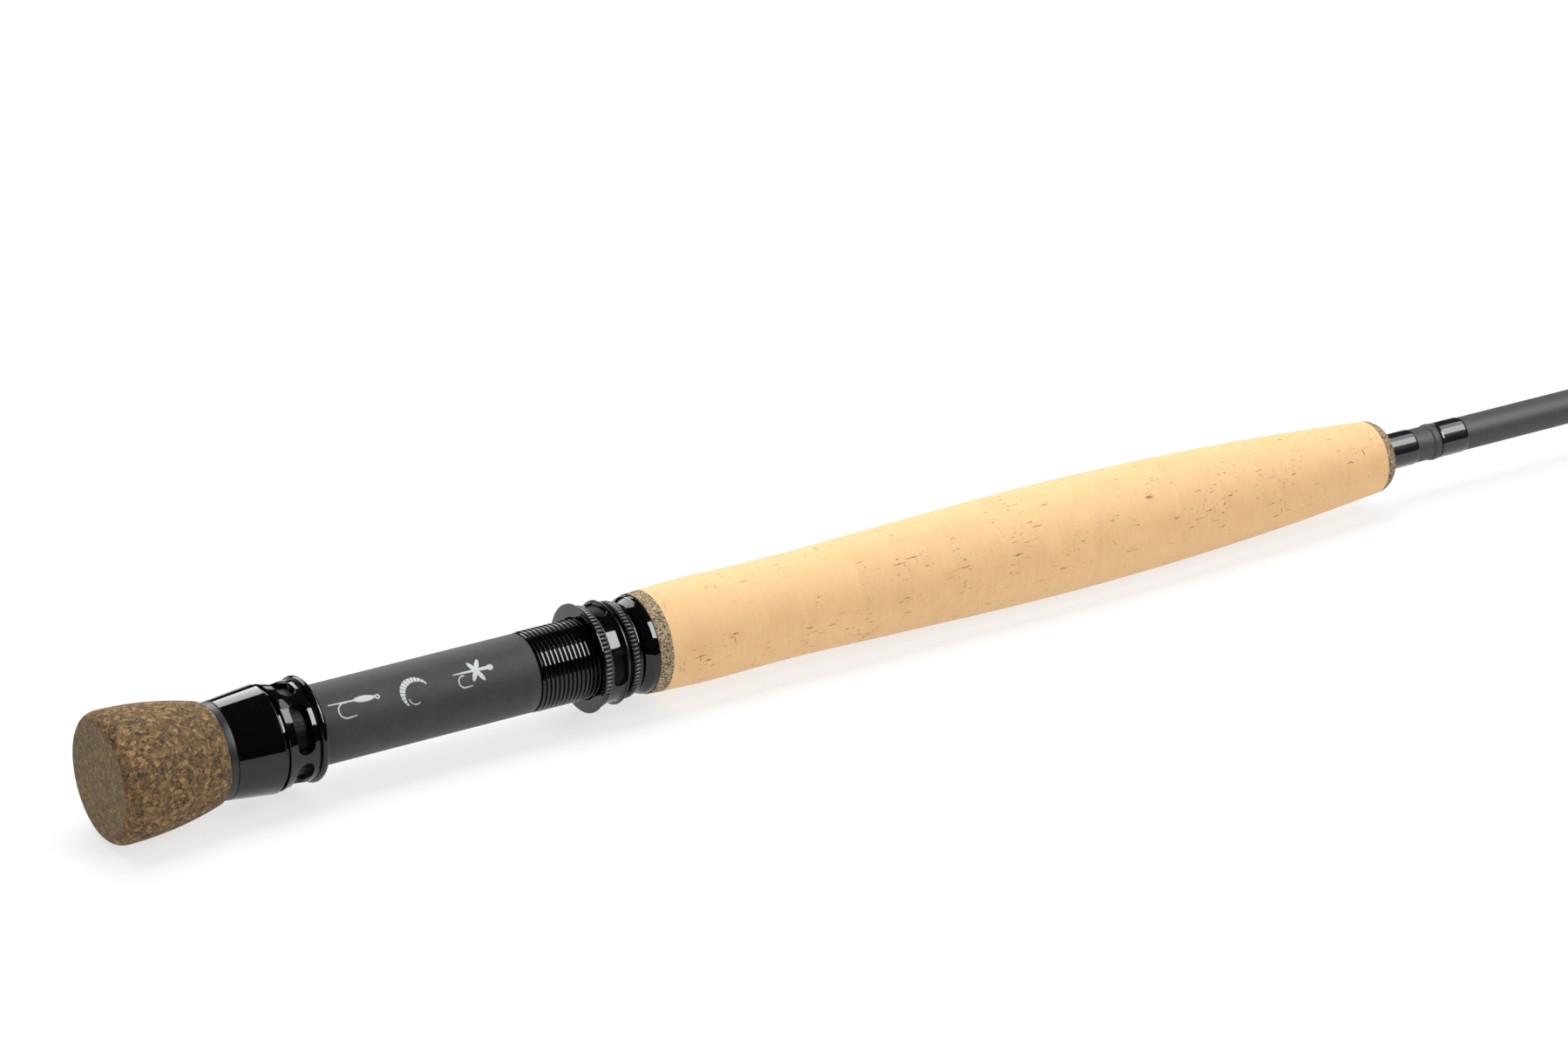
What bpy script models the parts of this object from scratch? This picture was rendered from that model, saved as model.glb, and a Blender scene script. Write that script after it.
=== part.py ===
"""Handle of a take-apart fly rod: fighting butt, reel seat, cork grip and the section plugged into it.

The rod's axis is +X from the butt to the tip, +Z is up, and the origin is the centre of the flat butt end.
The rod lies on its side, so the side of the seat that takes the reel foot is turned up from -Y by SEAT_TURN.
"""

import math

import bmesh
import bpy
from mathutils import Matrix, Vector

MM = 0.001

# Fighting butt and the ring in front of it
BUTT_LENGTH = 26.0 * MM
BUTT_RADIUS = 14.8 * MM
BUTT_RIM = 2.6 * MM
BUTT_LAND = 1.0 * MM
BUTT_TOP_STEP = 0.35 * MM
BUTT_FLOOR = 8.0 * MM
BUTT_RING_LENGTH = 2.0 * MM

# Reel seat. A height is measured from the barrel's surface, so that the seat follows its barrel.
SEAT_TURN = math.radians(28.0)
BARREL_RADIUS = 9.0 * MM
BARREL_WALL = 1.1 * MM
BARREL_OPEN_LENGTH = 54.3 * MM
BARREL_STEP = 0.2 * MM
BUTT_RING_HEIGHT = 1.95 * MM
CAP_LENGTH = 11.0 * MM
CAP_HEIGHT = 3.25 * MM
CAP_REAR_STEP = 0.1 * MM
CAP_EDGE = 0.35 * MM
CAP_WALL = 3.0 * MM
CAP_GROOVE_LENGTH = 0.6 * MM
CAP_GROOVE_DEPTH = 0.8 * MM
HOOD_LENGTH = 9.5 * MM
HOOD_HEIGHT = 3.0 * MM
HOOD_WAIST_HEIGHT = 2.35 * MM
LIP_LENGTH = 1.7 * MM
LIP_GROOVE = 0.4 * MM
HOOD_WINDOWS = 5
HOOD_WINDOW_SPAN = math.radians(60.0)
HOOD_WINDOW_REAR_RIM = 2.1 * MM
HOOD_WINDOW_FRONT_RIM = 1.2 * MM
THREAD_HEIGHT = 0.2 * MM
THREAD_DEPTH = 0.55 * MM
THREAD_PITCH = 1.1 * MM
THREAD_LENGTH = 25.3 * MM
SLEEVE_WALL = 0.8 * MM
SPIGOT_LENGTH = 12.0 * MM

# Sliding hood, locking nut, washer and jam nut, in the order they stand from the butt
FLANGE_HEIGHT = 3.5 * MM
FLANGE_THICKNESS = 0.75 * MM
SKIRT_HEIGHT = 1.35 * MM
NUT_KNURL_HEIGHT = 2.65 * MM
NUT_KNURL_LENGTH = 1.65 * MM
NUT_WAIST_HEIGHT = 2.2 * MM
NUT_WAIST_LENGTH = 3.3 * MM
NUT_RIM_HEIGHT = 2.95 * MM
NUT_RIM_LENGTH = 0.5 * MM
NUT_WEB = 0.65 * MM
NUT_WINDOWS = 4
NUT_WINDOW_SPAN = math.radians(45.0)
NUT_WINDOW_TURN = math.radians(4.0)
WASHER_HEIGHT = 1.4 * MM
WASHER_THICKNESS = 0.8 * MM
JAM_NECK_LENGTH = 0.4 * MM
JAM_KNURL_HEIGHT = 2.1 * MM
JAM_KNURL_LENGTH = 1.5 * MM
JAM_LIP_HEIGHT = 1.75 * MM
JAM_LIP_LENGTH = 0.9 * MM
PARKING_GAP = 0.6 * MM
KNURL_DEPTH = 0.35 * MM

# Pockets that take the two ends of a reel foot
POCKET_SIDE_INSET = 0.2 * MM
FIXED_POCKET_HEIGHT = 1.6 * MM
SLIDING_POCKET_HEIGHT = 0.95 * MM
POCKET_MOUTH_HEIGHT = 1.95 * MM
POCKET_FLARE = 0.7 * MM
POCKET_FLOOR = 1.0 * MM

# Collar between the thread and the grip
COLLAR_LENGTH = 3.5 * MM
COLLAR_HEIGHT = 2.15 * MM
COLLAR_CHAMFER = 1.6 * MM
COLLAR_NOSE_HEIGHT = 0.9 * MM

# Grip
REAR_TRIM_LENGTH = 3.2 * MM
REAR_TRIM_STEP = 0.2 * MM
CORK_RINGS = 16
CORK_RING_LENGTH = 12.5 * MM
FRONT_TRIM_LENGTH = 3.2 * MM
FRONT_TRIM_ROUND = 1.2 * MM
FRONT_TRIM_TAPER = 0.1 * MM
GRIP_REAR_RADIUS = 11.7 * MM
GRIP_HEEL_RADIUS = 12.05 * MM
GRIP_WAIST_RADIUS = 11.75 * MM
GRIP_SWELL_RADIUS = 13.2 * MM
GRIP_FRONT_RADIUS = 8.75 * MM
GRIP_HEEL_AT = 0.065
GRIP_WAIST_AT = 0.165
GRIP_SWELL_AT = 0.54
GRIP_TAPER_POWER = 1.9

# Tube through the handle and the arbors that centre the seat on it
TUBE_WALL = 0.78 * MM
ARBOR_LENGTH = 10.0 * MM
ARBOR_SETBACK = 4.0 * MM
BARREL_ARBORS = 3

# Ferrules, the plugged-in section and the thread bindings
FERRULE_RADIUS = 4.12 * MM
FERRULE_WALL = 0.67 * MM
FERRULE_DEPTH = 21.0 * MM
FERRULE_STOP = 0.5 * MM
FERRULE_TAIL = 21.5 * MM
FERRULE_SHOWS = 16.3 * MM
WELT_HEIGHT = 0.32 * MM
WELT_LENGTH = 2.3 * MM
SLIDE_END_GAP = 1.3 * MM
SLIDE_GLUED = 15.5 * MM
SLIDE_WALL = 0.6 * MM
SECTION_LENGTH = 144.5 * MM
SECTION_WALL = 0.4 * MM
SECTION_TAPER = 0.05 * MM
BINDING_THICKNESS = 0.17 * MM
REAR_BINDING_LENGTH = 9.1 * MM
MALE_BINDING_LENGTH = 7.6 * MM
FRONT_BINDING_LENGTH = 20.0 * MM
SLEEVE_SHOWS = 7.2 * MM

# Clearances
GLUE_GAP = 0.3 * MM
SLIDE_FIT = 0.05 * MM
BINDING_FIT = 0.05 * MM
THREAD_CLEARANCE = 0.3 * MM
CUT_PAST = 1.0 * MM

# Facets
SIDES = 24
SEAT_SIDES = 32
KNURL_SIDES = 48
ROUND_STEPS = 5
BUTT_STATIONS = (0.3, 0.5, 0.68, 0.84)

# Directions round the axis, as angles up from -Y
DOWN = math.radians(-90.0)

# Stations along the rod
RING_X = BUTT_LENGTH + GLUE_GAP
CAP_X = BUTT_LENGTH + BUTT_RING_LENGTH
FIXED_HOOD_X = CAP_X + CAP_LENGTH + CAP_GROOVE_LENGTH + GLUE_GAP
FIXED_MOUTH_X = FIXED_HOOD_X + HOOD_LENGTH
THREAD_X = FIXED_MOUTH_X + BARREL_OPEN_LENGTH
COLLAR_X = THREAD_X + THREAD_LENGTH
JAM_END_X = COLLAR_X - PARKING_GAP
JAM_X = JAM_END_X - JAM_LIP_LENGTH - JAM_KNURL_LENGTH - JAM_NECK_LENGTH
WASHER_X = JAM_X - GLUE_GAP - WASHER_THICKNESS
NUT_END_X = WASHER_X - GLUE_GAP
NUT_RIM_X = NUT_END_X - NUT_RIM_LENGTH
NUT_WAIST_X = NUT_RIM_X - NUT_WAIST_LENGTH
NUT_X = NUT_WAIST_X - NUT_KNURL_LENGTH
SKIRT_X = NUT_X - GLUE_GAP
SKIRT_END_X = NUT_END_X - NUT_WEB - GLUE_GAP
SLIDING_MOUTH_X = SKIRT_X - FLANGE_THICKNESS
REAR_TRIM_X = COLLAR_X + COLLAR_LENGTH
CORK_X = REAR_TRIM_X + REAR_TRIM_LENGTH
FRONT_TRIM_X = CORK_X + CORK_RINGS * CORK_RING_LENGTH
GRIP_END_X = FRONT_TRIM_X + FRONT_TRIM_LENGTH
MOUTH_X = GRIP_END_X + FERRULE_SHOWS
SECTION_X = MOUTH_X + GLUE_GAP
FRONT_MOUTH_X = SECTION_X + SECTION_LENGTH

# Radii of the ferrules and of the tubes that they fit
FERRULE_BORE_RADIUS = FERRULE_RADIUS - FERRULE_WALL
WELT_RADIUS = FERRULE_RADIUS + WELT_HEIGHT
SLIDE_RADIUS = FERRULE_BORE_RADIUS - SLIDE_FIT
SECTION_BORE_RADIUS = SLIDE_RADIUS + GLUE_GAP
SECTION_REAR_RADIUS = SECTION_BORE_RADIUS + SECTION_WALL
SECTION_FRONT_RADIUS = SECTION_REAR_RADIUS - SECTION_TAPER
TUBE_BORE_RADIUS = FERRULE_RADIUS + GLUE_GAP
TUBE_RADIUS = TUBE_BORE_RADIUS + TUBE_WALL
TUBE_HOLE_RADIUS = TUBE_RADIUS + GLUE_GAP

# Radii of the seat
BARREL_BORE_RADIUS = BARREL_RADIUS - BARREL_WALL
SPIGOT_RADIUS = BARREL_BORE_RADIUS - GLUE_GAP
SLEEVE_BORE_RADIUS = SPIGOT_RADIUS - SLEEVE_WALL
SEAT_BORE_RADIUS = BARREL_RADIUS + GLUE_GAP
THREAD_RADIUS = BARREL_RADIUS + THREAD_HEIGHT
THREAD_ROOT_RADIUS = THREAD_RADIUS - THREAD_DEPTH
RUNNING_BORE_RADIUS = THREAD_RADIUS + THREAD_CLEARANCE
BUTT_RING_RADIUS = BARREL_RADIUS + BUTT_RING_HEIGHT
BUTT_TOP_RADIUS = BUTT_RING_RADIUS + BUTT_TOP_STEP
CAP_RADIUS = BARREL_RADIUS + CAP_HEIGHT
HOOD_RADIUS = BARREL_RADIUS + HOOD_HEIGHT
HOOD_WAIST_RADIUS = BARREL_RADIUS + HOOD_WAIST_HEIGHT
FLANGE_RADIUS = BARREL_RADIUS + FLANGE_HEIGHT
SKIRT_RADIUS = BARREL_RADIUS + SKIRT_HEIGHT
NUT_KNURL_RADIUS = BARREL_RADIUS + NUT_KNURL_HEIGHT
NUT_WAIST_RADIUS = BARREL_RADIUS + NUT_WAIST_HEIGHT
NUT_RIM_RADIUS = BARREL_RADIUS + NUT_RIM_HEIGHT
WASHER_RADIUS = BARREL_RADIUS + WASHER_HEIGHT
JAM_KNURL_RADIUS = BARREL_RADIUS + JAM_KNURL_HEIGHT
JAM_LIP_RADIUS = BARREL_RADIUS + JAM_LIP_HEIGHT
COLLAR_RADIUS = BARREL_RADIUS + COLLAR_HEIGHT
COLLAR_NOSE_RADIUS = BARREL_RADIUS + COLLAR_NOSE_HEIGHT
POCKET_HALF_WIDTH = BARREL_RADIUS - POCKET_SIDE_INSET
FIXED_POCKET_RADIUS = BARREL_RADIUS + FIXED_POCKET_HEIGHT
SLIDING_POCKET_RADIUS = BARREL_RADIUS + SLIDING_POCKET_HEIGHT
POCKET_MOUTH_RADIUS = BARREL_RADIUS + POCKET_MOUTH_HEIGHT

MATERIALS = {
    "burl_cork": ((0.23, 0.15, 0.07), 0.80, 0.0),
    "matt_grey": ((0.06, 0.06, 0.065), 0.60, 0.0),
    "black_anodised": ((0.010, 0.010, 0.011), 0.14, 1.0),
    "carbon_barrel": ((0.055, 0.056, 0.058), 0.48, 0.0),
    "black_nylon": ((0.012, 0.012, 0.012), 0.50, 0.0),
    "rubber_cork": ((0.36, 0.29, 0.17), 0.85, 0.0),
    "cork": ((0.75, 0.53, 0.30), 0.75, 0.0),
    "foam_arbor": ((0.45, 0.45, 0.42), 0.90, 0.0),
    "carbon_tube": ((0.050, 0.050, 0.052), 0.45, 0.0),
    "gloss_binding": ((0.008, 0.008, 0.009), 0.08, 0.0),
    "satin_ferrule": ((0.07, 0.07, 0.072), 0.42, 0.6),
}


def clear_scene():
    for obj in list(bpy.data.objects):
        bpy.data.objects.remove(obj)


def material(slot):
    """The named finish, made on first use."""
    found = bpy.data.materials.get(slot)
    if found:
        return found
    colour, roughness, metallic = MATERIALS[slot]
    made = bpy.data.materials.new(slot)
    made.use_nodes = True
    shader = made.node_tree.nodes["Principled BSDF"]
    shader.inputs["Base Color"].default_value = (*colour, 1.0)
    shader.inputs["Roughness"].default_value = roughness
    shader.inputs["Metallic"].default_value = metallic
    made.diffuse_color = (*colour, 1.0)
    return made


def around(angle, radius, x=0.0):
    """The point at this radius and this angle up from -Y."""
    return Vector((x, -radius * math.cos(angle), radius * math.sin(angle)))


def empty(name, x, parent=None):
    """A frame on the rod's axis, for the pieces that move together."""
    obj = bpy.data.objects.new(name, None)
    obj.location.x = x - (parent.location.x if parent else 0.0)
    obj.parent = parent
    obj["station"] = x
    bpy.context.scene.collection.objects.link(obj)
    return obj


def finish(name, mesh, slot, body):
    """An object of this mesh, shaded smooth, with its origin on its body's frame."""
    bmesh.ops.remove_doubles(mesh, verts=mesh.verts, dist=1e-7)
    bmesh.ops.recalc_face_normals(mesh, faces=mesh.faces)
    data = bpy.data.meshes.new(name)
    mesh.to_mesh(data)
    mesh.free()
    data.transform(Matrix.Translation((-body["station"], 0.0, 0.0)))
    data.shade_smooth()
    data.set_sharp_from_angle(angle=math.radians(32.0))
    obj = bpy.data.objects.new(name, data)
    obj.parent = body
    bpy.context.scene.collection.objects.link(obj)
    if slot:
        data.materials.append(material(slot))
    return obj


def spin_section(mesh, section, sides, flat_at, closed):
    """Spins a section of (x, r) points round the axis, with the middle of a flat at the angle flat_at."""
    start = flat_at + math.pi / sides
    points = [mesh.verts.new(around(start, r, x)) for x, r in section]
    ends = points[1:] + points[:1] if closed else points[1:]
    edges = [mesh.edges.new(pair) for pair in zip(points, ends)]
    bmesh.ops.spin(
        mesh, geom=points + edges, cent=(0, 0, 0), axis=(1, 0, 0),
        angle=math.tau, steps=sides, use_merge=True,
    )


def turned(name, section, slot, body, sides=SIDES, flat_at=DOWN, knurl=None):
    """A turned solid. A section that starts and ends on the axis is a bar, and any other is a ring.

    knurl is (x from, x to, crest radius): every other corner there sinks by the knurl's depth.
    """
    mesh = bmesh.new()
    closed = section[0][1] > 0.0
    spin_section(mesh, section, sides, flat_at, closed)
    if knurl:
        low, high, crest = knurl
        bmesh.ops.remove_doubles(mesh, verts=mesh.verts, dist=1e-7)
        for vert in mesh.verts:
            x, y, z = vert.co
            radius = math.hypot(y, z)
            if low - 1e-6 < x < high + 1e-6 and abs(radius - crest) < 1e-6:
                step = (math.atan2(z, -y) - flat_at) * sides / math.tau - 0.5
                if round(step) % 2:
                    vert.co.yz *= (crest - KNURL_DEPTH) / crest
    return finish(name, mesh, slot, body)


def tube_section(start, end, outer, inner):
    return [(start, outer), (end, outer), (end, inner), (start, inner)]


def rounded(x, radius, size, towards, steps=ROUND_STEPS):
    """Points of a quarter round at the corner (x, radius), from the side wall to the end face.

    towards is -1 for a corner at a piece's low end and 1 for one at its high end.
    """
    centre_x = x - towards * size
    centre_r = radius - size
    turns = [math.pi / 2 * step / steps for step in range(steps + 1)]
    return [(centre_x + towards * size * math.sin(a), centre_r + size * math.cos(a)) for a in turns]


def smooth(share):
    """A curve from 0 to 1 that is level at both ends."""
    share = min(max(share, 0.0), 1.0)
    return share * share * (3.0 - 2.0 * share)


def grip_radius(x):
    """The grip's outline: a low heel, a waist, a full swell, then a long taper to the front."""
    share = (x - CORK_X) / (FRONT_TRIM_X - CORK_X)
    if share < GRIP_HEEL_AT:
        rise = math.sin(math.pi / 2 * max(share, 0.0) / GRIP_HEEL_AT)
        return GRIP_REAR_RADIUS + (GRIP_HEEL_RADIUS - GRIP_REAR_RADIUS) * rise
    if share < GRIP_WAIST_AT:
        fall = smooth((share - GRIP_HEEL_AT) / (GRIP_WAIST_AT - GRIP_HEEL_AT))
        return GRIP_HEEL_RADIUS + (GRIP_WAIST_RADIUS - GRIP_HEEL_RADIUS) * fall
    if share < GRIP_SWELL_AT:
        rise = smooth((share - GRIP_WAIST_AT) / (GRIP_SWELL_AT - GRIP_WAIST_AT))
        return GRIP_WAIST_RADIUS + (GRIP_SWELL_RADIUS - GRIP_WAIST_RADIUS) * rise
    fall = min((share - GRIP_SWELL_AT) / (1.0 - GRIP_SWELL_AT), 1.0)
    return GRIP_SWELL_RADIUS - (GRIP_SWELL_RADIUS - GRIP_FRONT_RADIUS) * fall**GRIP_TAPER_POWER


def cutter(name, mesh, body):
    obj = finish(name, mesh, None, body)
    obj.hide_render = True
    obj.display_type = "WIRE"
    return obj


def cut(obj, tool):
    modifier = obj.modifiers.new(tool.name, "BOOLEAN")
    modifier.operation = "DIFFERENCE"
    modifier.solver = "EXACT"
    modifier.object = tool


def prism(mesh, low, high):
    """A solid between two outlines with the same number of points."""
    rings = [[mesh.verts.new(point) for point in outline] for outline in (low, high)]
    mesh.faces.new(rings[0])
    mesh.faces.new(rings[1])
    count = len(rings[0])
    for i in range(count):
        j = (i + 1) % count
        mesh.faces.new((rings[0][i], rings[0][j], rings[1][j], rings[1][i]))


def window_cutter(name, body, start, end, inner, outer, count, span, first_at):
    """Slots with round ends that run round a hood, cut straight in towards the axis."""
    half_width = (end - start) / 2
    half_length = outer * math.sin(span / 2) - half_width
    middle = (start + end) / 2
    outline = []
    for side in (1, -1):
        for step in range(ROUND_STEPS + 2):
            a = math.pi * (step / (ROUND_STEPS + 1) - 0.5)
            outline.append((
                -side * half_width * math.sin(a),
                side * (half_length + half_width * math.cos(a)),
            ))
    mesh = bmesh.new()
    for index in range(count):
        at = first_at + math.tau * index / count
        out = around(at, 1.0)
        along = around(at + math.pi / 2, 1.0)
        levels = [
            [Vector((middle + across, 0, 0)) + along * length + out * level for across, length in outline]
            for level in (inner, outer)
        ]
        prism(mesh, *levels)
    return cutter(name, mesh, body)


def pocket_cutter(name, body, mouth, floor, roof, flare_roof):
    """The space for one end of a reel foot: flat sides, a roof that follows the hood, and a flared mouth.

    It starts at the axis, so its sides run down to the hood's bore whatever the sizes are.
    """
    towards = math.copysign(1.0, mouth - floor)
    out = around(SEAT_TURN, 1.0)
    along = around(SEAT_TURN + math.pi / 2, 1.0)

    def outline(x, roof_radius):
        reach = math.asin(POCKET_HALF_WIDTH / roof_radius)
        turns = [reach * (step / ROUND_STEPS - 1.0) for step in range(2 * ROUND_STEPS + 1)]
        arc = [(roof_radius * math.cos(a), roof_radius * math.sin(a)) for a in turns]
        corners = [(0.0, -POCKET_HALF_WIDTH), *arc, (0.0, POCKET_HALF_WIDTH)]
        return [Vector((x, 0, 0)) + out * up + along * across for up, across in corners]

    flare = flare_roof - roof
    stations = [
        (mouth + towards * GLUE_GAP, flare_roof + flare * GLUE_GAP / POCKET_FLARE),
        (mouth - towards * POCKET_FLARE, roof),
        (floor, roof),
    ]
    outlines = [outline(x, roof_radius) for x, roof_radius in stations]
    mesh = bmesh.new()
    rings = [[mesh.verts.new(point) for point in points] for points in outlines]
    count = len(rings[0])
    mesh.faces.new(rings[0])
    mesh.faces.new(rings[-1])
    for low, high in zip(rings, rings[1:]):
        for i in range(count):
            j = (i + 1) % count
            mesh.faces.new((low[i], low[j], high[j], high[i]))
    return cutter(name, mesh, body)


def fighting_butt(body):
    """Composite cork with a blind hole for the handle tube, rounded at its rim and drawn in to the seat."""
    top = BUTT_RIM + BUTT_LAND

    def outline(x):
        share = (x - top) / (BUTT_LENGTH - top)
        return BUTT_RADIUS - (BUTT_RADIUS - BUTT_TOP_RADIUS) * share**2

    rim = rounded(0.0, BUTT_RADIUS, BUTT_RIM, -1)[::-1]
    section = [(0.0, 0.0), *rim, (top, BUTT_RADIUS)]
    section += [(BUTT_LENGTH * share, outline(BUTT_LENGTH * share)) for share in BUTT_STATIONS]
    section += [(BUTT_LENGTH, BUTT_TOP_RADIUS), (BUTT_LENGTH, TUBE_HOLE_RADIUS)]
    section += [(BUTT_FLOOR, TUBE_HOLE_RADIUS), (BUTT_FLOOR, 0.0)]
    turned("fighting_butt", section, "burl_cork", body)


def butt_ring(body):
    end = CAP_X - GLUE_GAP
    section = tube_section(RING_X, end, BUTT_RING_RADIUS, TUBE_HOLE_RADIUS)
    turned("butt_ring", section, "matt_grey", body)


def butt_cap(body):
    """The cone behind the fixed hood, which closes the rear end of the seat barrel."""
    end = CAP_X + CAP_LENGTH
    groove_end = end + CAP_GROOVE_LENGTH
    groove_radius = CAP_RADIUS - CAP_GROOVE_DEPTH
    seat = CAP_X + CAP_WALL
    section = [
        (CAP_X, BUTT_RING_RADIUS + CAP_REAR_STEP), (end - CAP_EDGE, CAP_RADIUS), (end, CAP_RADIUS - CAP_EDGE),
        (end, groove_radius), (groove_end, groove_radius), (groove_end, SEAT_BORE_RADIUS),
        (seat, SEAT_BORE_RADIUS), (seat, TUBE_HOLE_RADIUS), (CAP_X, TUBE_HOLE_RADIUS),
    ]
    turned("butt_cap", section, "black_anodised", body, SEAT_SIDES)


def fixed_hood(body):
    """The glued hood: a windowed shell that draws in, then a lip. Its pocket opens towards the tip."""
    lip_x = FIXED_MOUTH_X - LIP_LENGTH
    waist_x = lip_x - LIP_GROOVE
    section = [
        (FIXED_HOOD_X, HOOD_RADIUS), (waist_x, HOOD_WAIST_RADIUS),
        (waist_x, HOOD_WAIST_RADIUS - LIP_GROOVE), (lip_x, HOOD_WAIST_RADIUS - LIP_GROOVE),
        *rounded(lip_x, HOOD_RADIUS, LIP_LENGTH / 3, -1, 2)[::-1],
        *rounded(FIXED_MOUTH_X, HOOD_RADIUS, LIP_LENGTH / 2, 1, 3),
        (FIXED_MOUTH_X, SEAT_BORE_RADIUS), (FIXED_HOOD_X, SEAT_BORE_RADIUS),
    ]
    hood = turned("fixed_hood", section, "black_anodised", body, SEAT_SIDES, SEAT_TURN)
    windows = window_cutter(
        "fixed_hood_windows", body, FIXED_HOOD_X + HOOD_WINDOW_REAR_RIM, waist_x - HOOD_WINDOW_FRONT_RIM,
        BARREL_RADIUS, HOOD_RADIUS + CUT_PAST, HOOD_WINDOWS, HOOD_WINDOW_SPAN, SEAT_TURN,
    )
    pocket = pocket_cutter(
        "fixed_hood_pocket", body, FIXED_MOUTH_X, FIXED_HOOD_X + POCKET_FLOOR,
        FIXED_POCKET_RADIUS, FIXED_POCKET_RADIUS,
    )
    cut(hood, windows)
    cut(hood, pocket)


def seat_barrel(body):
    """The bed that the reel foot rests on, stepped down where it goes under the fixed hood and into the cap."""
    start = CAP_X + CAP_WALL + GLUE_GAP
    shoulder = FIXED_MOUTH_X + GLUE_GAP
    end = THREAD_X - GLUE_GAP
    rear_radius = BARREL_RADIUS - BARREL_STEP
    section = [
        (start, rear_radius), (shoulder, rear_radius), (shoulder, BARREL_RADIUS),
        (end, BARREL_RADIUS), (end, BARREL_BORE_RADIUS), (start, BARREL_BORE_RADIUS),
    ]
    turned("seat_barrel", section, "carbon_barrel", body, SIDES, SEAT_TURN)


def threaded_sleeve(body):
    """A tube with a right-hand screw thread outside and a spigot that is glued into the barrel.

    At each angle the outline is a zigzag from root to crest. It moves back by one pitch each turn, so at
    the seam each point meets the one two places before. Points past an end lie on that end's root circle.
    """
    mesh = bmesh.new()
    places = 2 * (round(THREAD_LENGTH / THREAD_PITCH) + 2) + 1
    run_out = THREAD_PITCH / 2

    def corner(column, place):
        angle = SEAT_TURN + math.pi / SIDES + math.tau * column / SIDES
        x = THREAD_X + THREAD_PITCH * (place / 2 - 1.0 - column / SIDES)
        x = min(max(x, THREAD_X), COLLAR_X)
        height = min(1.0, (x - THREAD_X) / run_out, (COLLAR_X - x) / run_out)
        crest = THREAD_DEPTH * height if place % 2 else 0.0
        return around(angle, THREAD_ROOT_RADIUS + crest, x)

    grid = [[mesh.verts.new(corner(column, place)) for place in range(places)] for column in range(SIDES)]
    pairs = list(zip(grid, grid[1:])) + [(grid[-1][2:], grid[0])]
    for here, there in pairs:
        for place in range(min(len(here), len(there)) - 1):
            mesh.faces.new((here[place], here[place + 1], there[place + 1], there[place]))

    start = THREAD_X - SPIGOT_LENGTH
    end = COLLAR_X + COLLAR_LENGTH - GLUE_GAP
    plain = [
        (COLLAR_X, THREAD_ROOT_RADIUS), (end, THREAD_ROOT_RADIUS), (end, SLEEVE_BORE_RADIUS),
        (start, SLEEVE_BORE_RADIUS), (start, SPIGOT_RADIUS), (THREAD_X, SPIGOT_RADIUS),
        (THREAD_X, THREAD_ROOT_RADIUS),
    ]
    spin_section(mesh, plain, SIDES, SEAT_TURN, closed=False)
    finish("threaded_sleeve", mesh, "black_anodised", body)


def sliding_hood(body):
    """The hood that slides over the thread: a flange, and a skirt that the locking nut turns round."""
    end = SKIRT_END_X
    edge = FLANGE_THICKNESS / 3
    section = [
        (SLIDING_MOUTH_X, FLANGE_RADIUS - edge), (SLIDING_MOUTH_X + edge, FLANGE_RADIUS),
        (SKIRT_X, FLANGE_RADIUS), (SKIRT_X, SKIRT_RADIUS), (end, SKIRT_RADIUS),
        (end, RUNNING_BORE_RADIUS), (SLIDING_MOUTH_X, RUNNING_BORE_RADIUS),
    ]
    hood = turned("sliding_hood", section, "black_anodised", body, SEAT_SIDES, SEAT_TURN)
    pocket = pocket_cutter(
        "sliding_hood_pocket", body, SLIDING_MOUTH_X, end - POCKET_FLOOR,
        SLIDING_POCKET_RADIUS, POCKET_MOUTH_RADIUS,
    )
    cut(hood, pocket)


def locking_nut(body):
    """The nut that drives the hood: knurled band, windowed waist and rear rim, with a web at its rear end.

    Its bore clears the thread's crests, in place of a mating thread.
    """
    edge = NUT_RIM_LENGTH / 3
    shell = SKIRT_RADIUS + GLUE_GAP
    web_x = SKIRT_END_X + GLUE_GAP
    section = [
        (NUT_X, NUT_KNURL_RADIUS), (NUT_WAIST_X, NUT_KNURL_RADIUS),
        (NUT_WAIST_X, NUT_WAIST_RADIUS), (NUT_RIM_X, NUT_WAIST_RADIUS),
        (NUT_RIM_X + edge, NUT_RIM_RADIUS), (NUT_END_X - edge, NUT_RIM_RADIUS),
        (NUT_END_X, NUT_RIM_RADIUS - edge), (NUT_END_X, RUNNING_BORE_RADIUS),
        (web_x, RUNNING_BORE_RADIUS), (web_x, shell), (NUT_X, shell),
    ]
    band = (NUT_X, NUT_WAIST_X, NUT_KNURL_RADIUS)
    nut = turned("locking_nut", section, "black_anodised", body, KNURL_SIDES, SEAT_TURN, band)
    windows = window_cutter(
        "locking_nut_windows", body, NUT_WAIST_X + GLUE_GAP, NUT_RIM_X - GLUE_GAP,
        BARREL_RADIUS, NUT_RIM_RADIUS + CUT_PAST, NUT_WINDOWS, NUT_WINDOW_SPAN, NUT_WINDOW_TURN,
    )
    cut(nut, windows)


def slip_washer(body):
    section = tube_section(WASHER_X, WASHER_X + WASHER_THICKNESS, WASHER_RADIUS, RUNNING_BORE_RADIUS)
    turned("slip_washer", section, "black_nylon", body, SEAT_SIDES, SEAT_TURN)


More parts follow.
